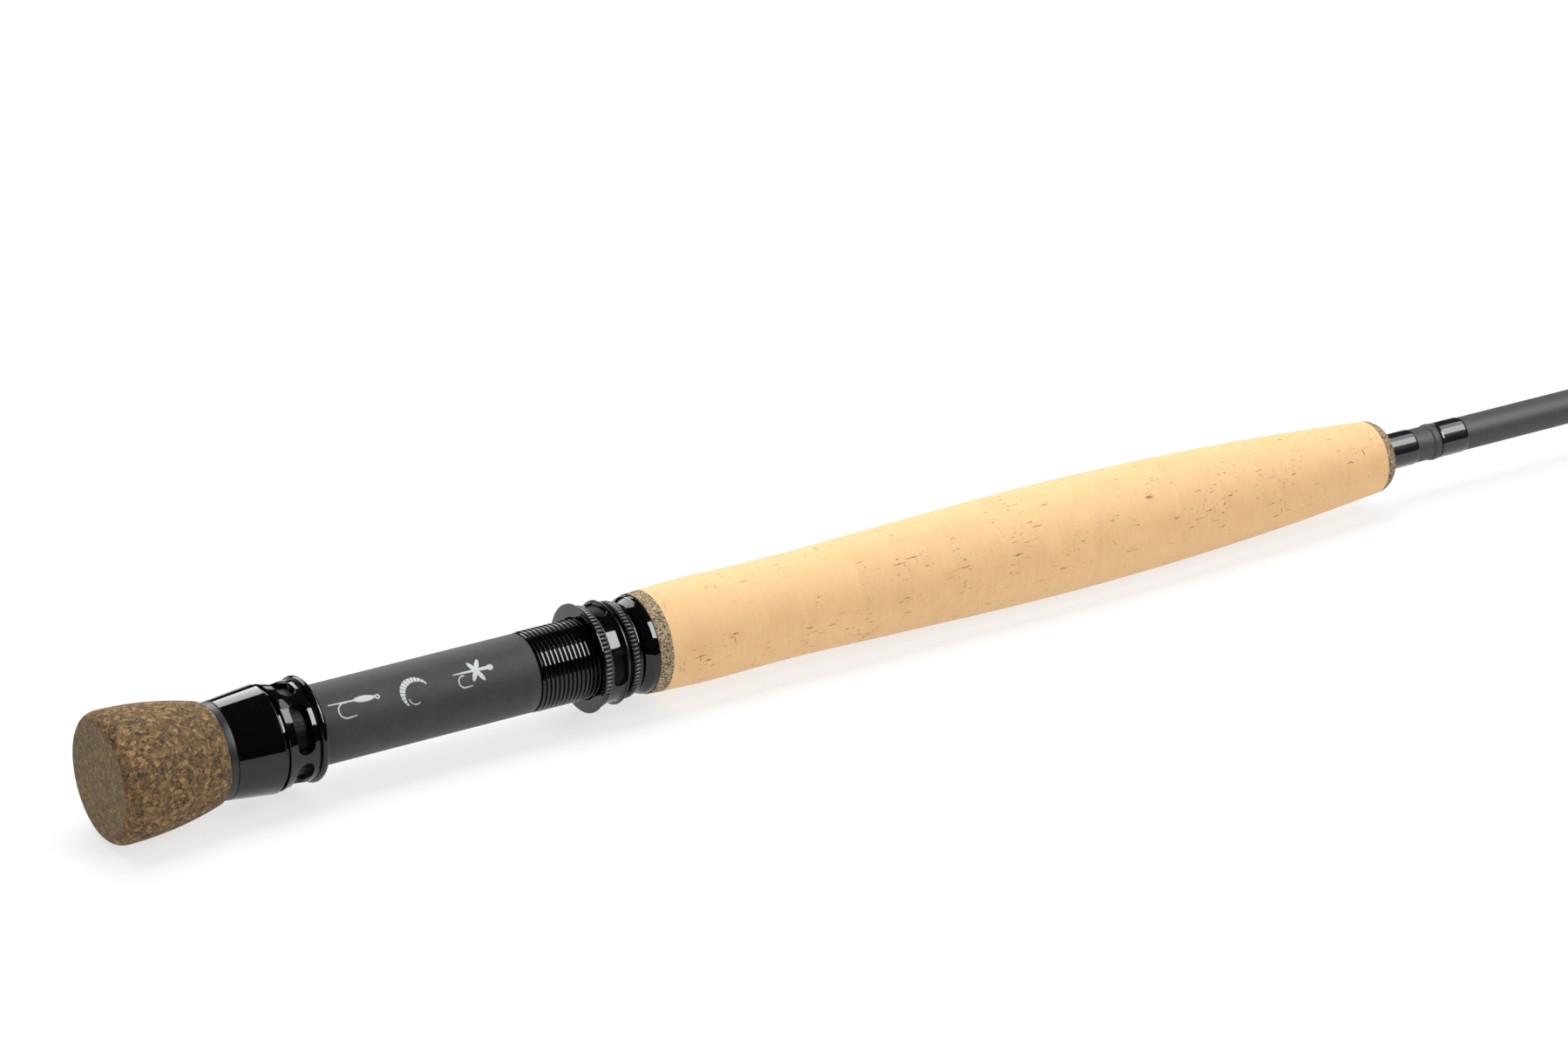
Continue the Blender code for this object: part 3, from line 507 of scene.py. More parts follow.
def butt_outline():
    """A quarter ellipse for the rim, then a parabola, with an exponential that eases the last edge."""
    rim = np.linspace(0.0, np.pi / 2, 14)
    rim_x = BUTT_RIM_LENGTH * (1 - np.cos(rim))
    rim_r = BUTT_RADIUS - BUTT_RIM_HEIGHT * (1 - np.sin(rim))
    side_x = np.linspace(BUTT_RIM_LENGTH, BUTT_END, 40)[1:]
    share = (side_x - BUTT_RIM_LENGTH) / (BUTT_END - BUTT_RIM_LENGTH)
    side_r = BUTT_RADIUS - BUTT_DRAW_IN * share**2.0
    side_r -= 0.25 * np.exp((side_x - BUTT_END) / 0.35)
    return np.concatenate([rim_x, side_x]), np.concatenate([rim_r, side_r])


def make_butt():
    out_x, out_r = butt_outline()
    face_r = np.linspace(0.0, out_r[0], 12)[:-1]
    x = np.concatenate([np.zeros(len(face_r)), out_x, [BUTT_END, BUTT_HOLE_BOTTOM, BUTT_HOLE_BOTTOM]])
    radius = np.concatenate([face_r, out_r, [TUBE_BORE, TUBE_BORE, 0.0]])
    mesh = round_mesh("butt", x, radius, ring_angles(192), closed_rows=False)
    piece(mesh, [BURL], "handle", "fighting_butt")


make_butt()

# %% [markdown]
# ## Ring and cap behind the seat
#
# A thin matt ring parts the cork from the black cap. The cap is a cone that widens towards the seat, ends
# in a narrow bright edge, and leaves a groove before the hood.

# %% Make the ring and the cap
CAP_START, CAP_END, CAP_RADIUS = span("butt_cap")
HOOD_START, HOOD_END, HOOD_RADIUS = span("fixed_hood")
SEAT_BORE = 9.3
turned(
    "grey_ring",
    [
        (BUTT_END + 0.02, 10.80, 0.12), (CAP_START - 0.12, 10.98, 0.12), (CAP_START - 0.12, TUBE_BORE, 0),
        (BUTT_END + 0.02, TUBE_BORE, 0),
    ],
    GREY_RING, "handle", "butt_ring",
)
CAP_EDGE = CAP_END - 0.6
turned(
    "seat_cap",
    [
        (CAP_START, 11.02, 0.15), (CAP_EDGE - 0.30, CAP_RADIUS, 0.12), (CAP_EDGE, CAP_RADIUS - 0.28, 0.10),
        (CAP_EDGE, 11.45, 0.1), (CAP_END, 11.45, 0.0), (CAP_END, SEAT_BORE, 0.0),
        (CAP_START + 3.0, SEAT_BORE, 0.0), (CAP_START + 3.0, TUBE_BORE, 0.0), (CAP_START, TUBE_BORE, 0.0),
    ],
    GLOSS, "handle", "butt_cap",
)

# %% [markdown]
# ## Windows in a hood
#
# The windows are slots with round ends that run round the hood. A slot is all points nearer than half its
# width to a short line, so the distance to that line says at once which points of the grid sink.

# %% Which points lie in a slot
def slot_depth(x, arc, middle, width, length):
    """1 inside a slot with round ends, 0 outside, from x and the arc length to the slot's centre."""
    beyond = np.maximum(np.abs(arc) - (length - width) / 2, 0.0)
    away = np.hypot(x - middle, beyond)
    return np.clip((width / 2 - away) / 0.10 + 0.5, 0.0, 1.0)


def nearest_turn(angles, count, first):
    """Signed angle to the nearest of count equally spaced places, the first of them at first."""
    pitch = 2 * np.pi / count
    return (angles - first + pitch / 2) % pitch - pitch / 2


# %% The pocket for one end of the reel's foot
POCKET_HALF_WIDTH = 8.8


def opening(angles, roof, bore):
    """Radius of a hood's opening at each angle. On the seat's side, flat walls stand under a round roof."""
    off = np.abs(nearest_turn(angles, 1, SEAT_SIDE))
    walls = POCKET_HALF_WIDTH / np.maximum(np.sin(np.minimum(off, np.pi / 2)), 1e-3)
    return np.where(off < np.pi / 2, np.maximum(np.minimum(roof, walls), bore), bore)


# %% Make the fixed hood
FIXED_WINDOWS = 5
WINDOW_FLOOR = 9.55
FIXED_ROOF = 10.55


def hood_rows():
    """x and radius of the fixed hood's outside, in millimetres: a taper, a fine groove, then a beaded lip."""
    taper = np.arange(HOOD_START + 0.1, HOOD_END - 2.35, 0.09)
    x = np.concatenate([[HOOD_START], taper, HOOD_END - np.array([2.2, 2.1, 1.95, 1.8, 1.7])])
    share = np.clip((taper - HOOD_START) / 5.2, 0.0, 1.0)
    radius = HOOD_RADIUS - 0.70 * np.sin(share * np.pi / 2) ** 1.2
    radius = np.concatenate([[HOOD_RADIUS - 0.12], radius, [11.28, 11.05, 10.95, 11.05, 11.30]])
    turn = np.linspace(0.0, np.pi, 16)
    lip_x = HOOD_END - 0.80 - 0.80 * np.cos(turn)
    lip_r = 11.15 + (HOOD_RADIUS - 11.20) * np.sin(turn) ** 0.75
    return np.concatenate([x, lip_x]), np.concatenate([radius, lip_r])


def make_fixed_hood():
    x, radius = hood_rows()
    angles = ring_angles(720)
    away = nearest_turn(angles, FIXED_WINDOWS, SEAT_SIDE)
    window = slot_depth(x[:, None], away[None, :] * 11.4, HOOD_START + 4.15, 4.1, 11.9)
    outside = radius[:, None] - window * (radius[:, None] - WINDOW_FLOOR)
    pocket = opening(angles, FIXED_ROOF, SEAT_BORE)
    plain = np.full_like(angles, SEAT_BORE)
    inside_x = np.array([HOOD_END, HOOD_END - 1.2, HOOD_END - 1.2, HOOD_START])
    inside = np.stack([pocket, pocket, plain, plain])
    mesh = round_mesh("hood_fixed", np.concatenate([x, inside_x]), np.concatenate([outside, inside]), angles)
    piece(mesh, [GLOSS, PAINTED_SHADE_BLACK], "handle", "fixed_hood")
    # Painted shade: the faces at the window floor take the black that hardly reflects.
    paint_faces(mesh, lambda x, radius: np.abs(radius - WINDOW_FLOOR) < 0.03)


make_fixed_hood()

# %% [markdown]
# ## Barrel and its printed figures
#
# The barrel is a plain matt tube. Three small figures are printed on it: a dressed hook, a banded crescent
# and a winged insect. Each is worked out as a distance: how far a point lies inside or outside a few simple
# strokes. The mesh carries that distance as an attribute, and the material turns its zero line into the
# edge of the ink.

# %% Distances to simple strokes
def to_stroke(u, v, start, end, thick_start, thick_end):
    """Distance outside a straight stroke whose half thickness runs evenly from one end to the other."""
    (u0, v0), (u1, v1) = start, end
    length2 = (u1 - u0) ** 2 + (v1 - v0) ** 2
    t = np.clip(((u - u0) * (u1 - u0) + (v - v0) * (v1 - v0)) / length2, 0.0, 1.0)
    away = np.hypot(u - u0 - t * (u1 - u0), v - v0 - t * (v1 - v0))
    return away - (thick_start + t * (thick_end - thick_start))


def to_arc(u, v, centre, radius, low, high, thick):
    """Distance outside an arc stroke. thick is its half thickness, or a function of the share along it."""
    angle = np.arctan2(v - centre[1], u - centre[0])
    middle = (low + high) / 2
    turned_by = (angle - middle + np.pi) % (2 * np.pi) - np.pi
    held = np.clip(turned_by, (low - high) / 2, (high - low) / 2)
    near_u = centre[0] + radius * np.cos(middle + held)
    near_v = centre[1] + radius * np.sin(middle + held)
    share = (held / (high - low)) + 0.5
    half = thick(share) if callable(thick) else thick
    return np.hypot(u - near_u, v - near_v) - half


def to_leaf(u, v, centre, length, width, lean):
    """Distance outside a leaf: an ellipse turned by lean, measured along its shorter side."""
    c, s = np.cos(lean), np.sin(lean)
    along = (u - centre[0]) * c + (v - centre[1]) * s
    across = -(u - centre[0]) * s + (v - centre[1]) * c
    return (np.hypot(along / length, across / width) - 1.0) * width


# %% The three figures, in millimetres along and round the barrel
def dressed_hook(u, v):
    """A spindle on a long shank, with a bend and a point at the rear and an eye in front."""
    bend = to_arc(u, v, (4.0, -1.45), 1.75, radians(75), radians(275), 0.17)
    point = to_stroke(u, v, (4.1, -3.2), (6.2, -3.05), 0.19, 0.10)
    shank = to_stroke(u, v, (0.4, 0.55), (11.4, 0.1), 0.13, 0.26)
    body = to_leaf(u, v, (8.9, 0.15), 2.5, 0.75, radians(-4))
    eye = to_arc(u, v, (12.1, -0.15), 0.42, -math.pi, math.pi, 0.17)
    return np.minimum.reduce([bend, point, shank, body, eye])


def banded_crescent(u, v):
    """A crescent that swells in its middle, cut across by thin bands."""
    grub = to_arc(
        u, v, (5.3, -1.7), 3.35, radians(28), radians(222),
        lambda share: 0.10 + 0.62 * np.sin(np.pi * np.clip(share, 0, 1)) ** 0.8,
    )
    angle = np.arctan2(v + 1.7, u - 5.3)
    bands = 0.075 - np.abs(nearest_turn(angle, 26, 0.0)) * 3.35
    tail = to_arc(u, v, (4.7, -2.4), 1.55, radians(185), radians(300), 0.13)
    return np.minimum(np.maximum(grub, bands), tail)


WINGS = ((0.2, 1.35, 62), (0.2, -1.15, -62), (-1.1, 1.05, 118), (-1.1, -0.85, -118))


def winged_insect(u, v):
    """A slim body with a round head, two pairs of leaf wings and a curved hook below."""
    body = to_stroke(u, v, (0.5, 0.3), (9.0, 0.1), 0.12, 0.42)
    head = to_leaf(u, v, (9.6, 0.05), 0.75, 0.70, 0.0)
    wings = [
        to_leaf(u, v, (6.6 + side_shift, height), 1.55, 0.52, radians(lean))
        for side_shift, height, lean in WINGS
    ]
    bend = to_arc(u, v, (2.6, -1.75), 1.35, radians(80), radians(268), 0.15)
    point = to_stroke(u, v, (2.6, -3.1), (4.3, -3.0), 0.16, 0.09)
    return np.minimum.reduce([body, head, *wings, bend, point])


FIGURES = ((dressed_hook, 51.9), (banded_crescent, 67.9), (winged_insect, 82.4))

# %% Make the barrel
BARREL_START, BARREL_END, BARREL_RADIUS = span("seat_barrel")
THREAD_START = BARREL_END + 0.3
BARREL_WALL = 1.1
FIGURE_UP = radians(19.0)


def make_barrel():
    """Rows are close where the figures are, and so are the columns on that side."""
    fine = np.arange(50.5, 94.5, 0.16)
    x = np.concatenate([[BARREL_START, HOOD_END], fine, [97.0, 100.0, BARREL_END - 0.25, BARREL_END]])
    radius = np.full(len(x), BARREL_RADIUS)
    radius[-1] -= 0.2
    near = np.linspace(radians(-8), radians(44), 56)
    far = np.linspace(radians(44), radians(352), 80)[1:-1]
    angles = SEAT_SIDE + np.concatenate([near, far])
    u, v = np.broadcast_arrays(x[:, None], (angles[None, :] - SEAT_SIDE - FIGURE_UP) * BARREL_RADIUS)
    away = np.minimum.reduce([figure(u - start, v) for figure, start in FIGURES])
    ink = np.clip(0.5 - away / 1.6, 0.0, 1.0)
    ink = np.concatenate([ink, np.zeros((2, len(angles)))])
    x = np.concatenate([x, [BARREL_END, BARREL_START]])
    radius = np.concatenate([radius, [BARREL_RADIUS - BARREL_WALL] * 2])
    mesh = round_mesh("barrel", x, radius, angles, values={"ink": ink})
    piece(mesh, [BARREL], "handle", "seat_barrel")


make_barrel()

# %% [markdown]
# ## Thread
#
# A screw thread is a groove whose place moves along by one pitch in each turn. So the radius depends only
# on x plus the share of a turn: a rounded crest and a deep root, faded out at both ends.

# %% Make the thread
SLEEVE_START, SLEEVE_END, THREAD_RADIUS = span("threaded_sleeve")
THREAD_PITCH = 1.1
THREAD_DEPTH = 0.5
COLLAR_START = 129.0


def make_thread():
    """radius = crest - depth * groove, where groove is a rounded dip that takes about half of each pitch."""
    x = np.arange(THREAD_START, COLLAR_START, THREAD_PITCH / 20)
    angles = ring_angles(180)
    phase = x[:, None] / THREAD_PITCH + (angles[None, :] - SEAT_SIDE) / (2 * np.pi)
    groove = (0.5 + 0.5 * np.cos(2 * np.pi * phase)) ** 3.5
    fade = np.clip((x - THREAD_START) / 0.9, 0.0, 1.0) * np.clip((COLLAR_START - x) / 0.9, 0.0, 1.0)
    outside = THREAD_RADIUS - 0.15 * (1 - fade[:, None]) - THREAD_DEPTH * groove * fade[:, None]
    ends_x = [COLLAR_START, SLEEVE_END, SLEEVE_END, SLEEVE_START, SLEEVE_START, THREAD_START, THREAD_START]
    ends_r = [8.65, 8.65, 6.8, 6.8, 7.6, 7.6, 8.9]
    rest = np.repeat(np.array(ends_r)[:, None], len(angles), axis=1)
    mesh = round_mesh("thread", np.concatenate([x, ends_x]), np.concatenate([outside, rest]), angles)
    piece(mesh, [GLOSS], "handle", "threaded_sleeve")


make_thread()

# %% [markdown]
# ## Sliding hood
#
# The hood is a flange with a skirt behind it. Its opening clears the thread all round, and on the seat's
# side it widens to a pocket for the reel's foot, worked out for each angle as in the fixed hood. The
# pocket's roof flares at the mouth, so that the foot finds its way in.

# %% Make the sliding hood
SLIDE_START, SLIDE_END, FLANGE_RADIUS = span("sliding_hood")
SKIRT_START = SLIDE_START + 0.36
SKIRT_RADIUS = 10.35
CLEAR_BORE = 9.5


def make_sliding_hood():
    angles = ring_angles(288)
    rim_x, rim_r = rounded([
        (SLIDE_START, CLEAR_BORE, 0), (SLIDE_START, FLANGE_RADIUS, 0.14), (SKIRT_START, FLANGE_RADIUS, 0.08),
        (SKIRT_START, SKIRT_RADIUS, 0), (SLIDE_END, SKIRT_RADIUS, 0.1), (SLIDE_END, CLEAR_BORE, 0),
    ], steps=6)
    outer_r = np.repeat(rim_r[1:, None], len(angles), axis=1)
    floor_x = SLIDE_END - 1.0
    inner_x = [floor_x, floor_x, SLIDE_START + 0.7, SLIDE_START + 0.12, SLIDE_START]
    inner_r = [opening(angles, roof, CLEAR_BORE) for roof in (CLEAR_BORE, 9.95, 9.95, 10.78, 10.95)]
    rows_x = np.concatenate([rim_x[1:], inner_x])
    mesh = round_mesh("hood_sliding", rows_x, np.concatenate([outer_r, inner_r]), angles)
    piece(mesh, [GLOSS], "sliding_hood", "sliding_hood")


make_sliding_hood()

# %% [markdown]
# ## Knurled nuts
#
# A coin-edge knurl is a row of small ridges across the band, so that fingers can turn the nut. The radius
# follows a rounded square wave of the angle. Both nuts have the same number of ridges. The ridges get a satin
# grey whose pale colour is a painted highlight, for the light that their sloping flanks catch, and the
# grooves get a black that hardly reflects, a painted shade, so the ridges and the grooves get their own
# finish.

# %% Make the nuts
RIDGES = 72
NUT_START, NUT_END, _ = span("locking_nut")
JAM_START, JAM_END, _ = span("jam_nut")
NUT_COLUMNS = RIDGES * 12
NUT_FACE = SKIRT_START + 0.05
NUT_FINISHES = [GLOSS, PAINTED_HIGHLIGHT_RIDGES, PAINTED_SHADE_BLACK]
KNURL_DEPTH = 0.40
NUT_WINDOW_FLOOR = 10.69


def ridge_faces(band_x, band_r, deep):
    """1 on the ridges of a band, 2 in its grooves, and 0 elsewhere."""
    def choose(x, radius):
        sunk = np.interp(x, band_x, band_r) - radius
        in_band = (x > band_x[0]) & (x < band_x[-1]) & (sunk < 2.2 * deep)
        return in_band * np.where(sunk > 0.45 * deep, 2, 1)
    return choose


def knurl(angles):
    """How far the surface sinks at each angle: flat ridges with narrow rounded grooves between them."""
    wave = 0.5 + 0.5 * np.cos(RIDGES * angles)
    return KNURL_DEPTH * wave**1.5


def make_locking_nut():
    angles = ring_angles(NUT_COLUMNS)
    band_x = NUT_FACE + np.array([0.0, 0.05, 0.16, 0.42, 1.55, 1.95, 2.20, 2.30])
    band_r = np.array([11.40, 11.60, 11.78, 11.84, 11.74, 11.58, 11.35, 11.22])
    sink = np.array([0.6, 0.8, 1.0, 1.0, 1.0, 1.0, 0.6, 0.0])
    band = band_r[:, None] - sink[:, None] * knurl(angles)[None, :]
    waist_x = np.arange(band_x[-1] + 0.08, NUT_END - 0.42, 0.08)
    share = (waist_x - waist_x[0]) / (waist_x[-1] - waist_x[0])
    waist_r = 11.20 + 0.28 * share**8
    away = nearest_turn(angles, 4, SEAT_SIDE - radians(24))
    window = slot_depth(waist_x[:, None], away[None, :] * 11.2, NUT_START + 3.42, 3.0, 8.7)
    waist = waist_r[:, None] - window * (waist_r[:, None] - NUT_WINDOW_FLOOR)
    rim_x = NUT_END - np.array([0.40, 0.28, 0.14, 0.05, 0.0])
    rim_r = np.array([11.62, 11.88, 11.95, 11.90, 11.80])
    tail_x = np.array([NUT_END, 123.9, 123.9, NUT_FACE])
    tail_r = np.array([CLEAR_BORE, CLEAR_BORE, 10.65, 10.65])
    plain = np.concatenate([rim_r, tail_r])[:, None] + 0 * angles[None, :]
    rows_x = np.concatenate([band_x, waist_x, rim_x, tail_x])
    mesh = round_mesh("nut_locking", rows_x, np.concatenate([band, waist, plain]), angles)
    piece(mesh, NUT_FINISHES, "locking_nut", "locking_nut")
    ridges = ridge_faces(band_x, band_r, KNURL_DEPTH)
    # Painted highlight on the ridges, painted shade in the grooves and on the window floors.
    paint_faces(mesh, lambda x, radius: ridges(x, radius) + 2 * (np.abs(radius - NUT_WINDOW_FLOOR) < 0.02))


JAM_PROFILE = (
    (0.0, 10.15, 0), (0.22, 10.15, 0), (0.28, 10.75, 0.3), (0.40, 11.08, 1), (0.62, 11.20, 1),
    (1.60, 11.12, 1), (1.88, 10.96, 1), (2.04, 10.72, 0.4), (2.10, 10.74, 0), (2.35, 10.78, 0),
    (2.58, 10.74, 0), (2.73, 10.62, 0), (2.80, 10.45, 0),
)


def make_jam_nut():
    """Each point of the profile is (x, radius, share of the knurl's depth), in millimetres."""
    angles = ring_angles(NUT_COLUMNS)
    x, radius, sink = np.array(JAM_PROFILE).T
    x = JAM_START + x
    outside = radius[:, None] - sink[:, None] * knurl(angles)[None, :]
    inside = np.full((2, len(angles)), CLEAR_BORE)
    rows_x = np.concatenate([x, [JAM_END, JAM_START]])
    mesh = round_mesh("nut_jam", rows_x, np.concatenate([outside, inside]), angles)
    piece(mesh, NUT_FINISHES, "jam_nut", "jam_nut")
    # Painted highlight on the ridges, painted shade in the grooves.
    paint_faces(mesh, ridge_faces(x[2:9], radius[2:9], KNURL_DEPTH))


make_locking_nut()
make_jam_nut()

# %% [markdown]
# ## Washer and collar
#
# A nylon washer lies in the dark gap between the nuts. The collar that ends the seat has a polished cone
# towards the nuts and a short cylinder against the grip.

# %% Make the washer and the collar
WASHER_START, WASHER_END, WASHER_RADIUS = span("slip_washer")
GRIP_SEAT = span("rear_trim_ring")[0]
turned(
    "washer",
    [(WASHER_START, WASHER_RADIUS, 0.15), (WASHER_END, WASHER_RADIUS, 0.15), (WASHER_END, CLEAR_BORE, 0),
     (WASHER_START, CLEAR_BORE, 0)],
    NYLON, "locking_nut", "slip_washer",
)
COLLAR_FACE = span("seat_collar")[0]
turned(
    "collar",
    [
        (COLLAR_FACE, 10.05, 0.12), (COLLAR_FACE + 1.75, 11.16, 0.30), (GRIP_SEAT - 0.06, 11.22, 0.12),
        (GRIP_SEAT - 0.06, 8.95, 0), (COLLAR_FACE, 8.95, 0),
    ],
    GLOSS, "handle", "seat_collar", columns=256,
)

# %% [markdown]
# ## Grip
#
# Sixteen rings of cork are glued on the tube and turned together, so one smooth outline runs over all of
# them and over the trim at both ends: a low heel, a waist for the last fingers, a full palm swell, and a
# long taper. Each ring is cut from that outline, with a hairline between neighbours.

# %% The grip's outline
GRIP_KNOTS = (
    (132.5, 11.48), (135.8, 11.68), (141.0, 11.86), (147.5, 12.05), (156.0, 11.93), (165.0, 11.80),
    (173.0, 11.80), (181.0, 11.96), (190.0, 12.20), (205.0, 12.56), (220.0, 12.92), (233.0, 13.14),
    (245.0, 13.18), (258.0, 13.04), (272.0, 12.72), (286.0, 12.20), (300.0, 11.48), (314.0, 10.58),
    (326.0, 9.62), (336.0, 8.78),
)
CORK_RINGS = 16
RING_STEPS = 15
SEAM_EDGE = 0.004


def grip_ring(name, start, end, edge, material, node):
    """The stretch of the grip's outline from start to end, closed by two flat faces and the bore."""
    along = np.linspace(start, end, RING_STEPS)
    outer = flowing(GRIP_KNOTS, along)
    outer[0] -= edge
    outer[-1] -= edge
    x = np.concatenate([along, [end, start]])
    radius = np.concatenate([outer, [TUBE_BORE, TUBE_BORE]])
    piece(round_mesh(name, x, radius, ring_angles(192)), [material], "handle", node)


# %% Make the rings
def make_grip():
    rng = np.random.default_rng(16)
    for index in range(1, CORK_RINGS + 1):
        node = f"cork_ring_{index:02d}"
        start = span(node)[0]
        following = f"cork_ring_{index + 1:02d}" if index < CORK_RINGS else "front_trim_ring"
        end = span(following)[0] - HAIRLINE
        grip_ring(f"grip_ring_{index:02d}", start, end, SEAM_EDGE, grip_cork(index, rng), node)


make_grip()
FIRST_RING = span("cork_ring_01")[0]
grip_ring("trim_rear", GRIP_SEAT, FIRST_RING - 2 * HAIRLINE, 0.0, REAR_TRIM, "rear_trim_ring")

# %% Make the front trim
NOSE_START, NOSE_END, NOSE_RADIUS = span("front_trim_ring")
FERRULE_CLEAR = 4.42
turned(
    "trim_front",
    [
        (NOSE_START, NOSE_RADIUS + 0.02, 0), (NOSE_START + 1.3, NOSE_RADIUS - 0.12, 0.4),
        (NOSE_END, 7.55, 1.2), (NOSE_END, FERRULE_CLEAR, 0), (NOSE_START, FERRULE_CLEAR, 0),
    ],
    FRONT_TRIM, "handle", "front_trim_ring",
)

# %% [markdown]
# ## Ferrules, bindings and the next section
#
# The next section plugs into the ferrule at the front of the handle. The ferrule's mouth is thickened to a
# welt so that it doesn't split, and varnished thread binds both sides.

# %% Make a binding
CROWN = 0.02


def binding(name, node, body):
    """A sleeve whose radius rises quickly at both ends and crowns a little in the middle."""
    start, end, outer = span(node)
    inner = outer - 0.17
    share = (1 - np.cos(np.linspace(0.0, np.pi, 40))) / 2
    rise = np.clip(np.minimum(share, 1 - share) * (end - start) / 0.8, 0.0, 1.0)
    radius = inner + 0.05 + 0.12 * np.sqrt(rise * (2 - rise)) + CROWN * np.sin(np.pi * share)
    x = np.concatenate([start + share * (end - start), [end, start]])
    radius = np.concatenate([radius, [inner, inner]])
    piece(round_mesh(name, x, radius, ring_angles(128)), [VARNISH], body, node)


binding("binding_handle", "handle_binding", "handle")
binding("binding_plug", "male_binding", "plug_in_section")
binding("binding_front", "front_binding", "plug_in_section")

# %% Make a ferrule
FERRULE_RADIUS = 4.12
SOCKET_RADIUS = 3.45
SOCKET_DEPTH = 21.0
TAIL_WALL = 0.6


def ferrule(name, node, body, tail_radius, shoulder):
    """A sleeve with a beaded mouth, a bore, and a tail that goes into the tube behind it."""
    start, end, welt = span(node)
    bead = np.linspace(0.0, np.pi, 14)
    bead_x = end - 1.05 - 1.05 * np.cos(bead)
    bead_r = FERRULE_RADIUS + (welt - FERRULE_RADIUS) * np.sin(bead) ** 0.9
    bottom = end - SOCKET_DEPTH
    tail = [(start, tail_radius)]
    if shoulder:
        tail += [(bottom - 0.5, tail_radius), (bottom - 0.5, FERRULE_RADIUS)]
    mouth = [
        (end, SOCKET_RADIUS + 0.15), (end - 0.15, SOCKET_RADIUS), (bottom, SOCKET_RADIUS),
        (bottom, tail_radius - TAIL_WALL), (start, tail_radius - TAIL_WALL),
    ]
    x, radius = np.array(tail + list(zip(bead_x, bead_r)) + mouth).T
    piece(round_mesh(name, x, radius, ring_angles(128)), [TUBE], body, node)


ferrule("ferrule_handle", "handle_ferrule", "handle", FERRULE_RADIUS, shoulder=False)
ferrule("ferrule_front", "front_ferrule", "plug_in_section", 3.4, shoulder=True)

# %% Make the blank
BLANK_START, BLANK_END, _ = span("section_blank")
turned(
    "blank",
    [(BLANK_START, 4.10, 0.1), (BLANK_END, 4.05, 0.1), (BLANK_END, 3.70, 0), (BLANK_START, 3.70, 0)],
    TUBE, "plug_in_section", "section_blank", columns=128,
)

# %% [markdown]
# ## What stays as it was packed
#
# The tube, the arbors and the plug lie inside the handle and only show when the section is pulled out, so
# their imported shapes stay, and only their finish is new.

# %% Finish the inner parts
INNER_FINISHES = {
    "handle_tube": TUBE, "male_ferrule": TUBE,
    **{f"seat_arbor_{index}": FOAM for index in range(1, 5)},
}
for node, material in INNER_FINISHES.items():
    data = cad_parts[node].data
    data.materials.clear()
    data.materials.append(material)
print("kept:", ", ".join(INNER_FINISHES))

# %% [markdown]
# ## Camera
#
# The camera stands far off with a long lens, up and to the left, so that the rod runs from the lower left
# to the upper right and its butt end shows as a narrow ellipse.

# %% Make the camera
CAMERA_AIM = Vector((171.52, 0.0, 20.52)) * MM
CAMERA_DISTANCE = 1372.9 * MM
CAMERA_AZIMUTH = radians(-31.80)
CAMERA_ELEVATION = radians(23.475)
CAMERA_LENS = 140.08


def make_camera():
    """The camera stands back from its aim along the direction that azimuth and elevation give."""
    level = math.cos(CAMERA_ELEVATION)
    back = Vector((
        level * math.sin(CAMERA_AZIMUTH), -level * math.cos(CAMERA_AZIMUTH), math.sin(CAMERA_ELEVATION)
    ))
    data = bpy.data.cameras.new("camera")
    data.lens = CAMERA_LENS
    data.sensor_width = 36.0
    made = new_object("camera", data)
    made.location = CAMERA_AIM + back * CAMERA_DISTANCE
    made.rotation_euler = (-back).to_track_quat("-Z", "Y").to_euler()
    bpy.context.scene.camera = made


make_camera()

# %% [markdown]
# ## Floor, backdrop and light
#
# The rod lies on a white table: it rests on the rim of its butt and on the swell of its grip. A white shell
# far round it is seen only by the camera, so the background is pale from every side while the gloss black
# parts still have a dark room to reflect.

# %% Make the floor and the backdrop
def plain_material(name, colour, glow=0.0):
    made = bpy.data.materials.new(name)
    made.use_nodes = True
    shader = made.node_tree.nodes["Principled BSDF"]
    shader.inputs["Base Color"].default_value = (*colour, 1.0)
    shader.inputs["Roughness"].default_value = 0.9
    shader.inputs["Specular IOR Level"].default_value = 0.0
    shader.inputs["Emission Color"].default_value = (1.0, 1.0, 1.0, 1.0)
    shader.inputs["Emission Strength"].default_value = glow
    return made


FLOOR_REACH = 2.5
CARD_DISTANCE = 0.13
CARD_HEIGHT = 0.05
BUTT_REST_X = 4.0
GRIP_REST_X, GRIP_REST_RADIUS = 243.0, 13.18


def set_stage(mesh, material, hidden_from=()):
    """An object that is there for the picture only, and that some kinds of ray don't meet."""
    made = new_object(mesh.name, mesh)
    mesh.materials.append(material)
    for ray in hidden_from:
        setattr(made, "visible_" + ray, False)


def make_floor():
    """A square that touches the butt's rim and the grip's swell: slope = rise in radius / distance."""
    slope = (BUTT_RADIUS - GRIP_REST_RADIUS) / (GRIP_REST_X - BUTT_REST_X)
    level = -BUTT_RADIUS * MM - BUTT_REST_X * MM * slope
    along = FLOOR_REACH * np.array([-1, 1, 1, -1])
    across = FLOOR_REACH * np.array([-1, -1, 1, 1])
    corners = np.stack([along, across, level + slope * along], axis=-1)
    mesh = bpy.data.meshes.new("floor")
    mesh.from_pydata(corners, [], [(0, 1, 2, 3)])
    set_stage(mesh, plain_material("white_table", (0.30, 0.30, 0.302), glow=0.68))


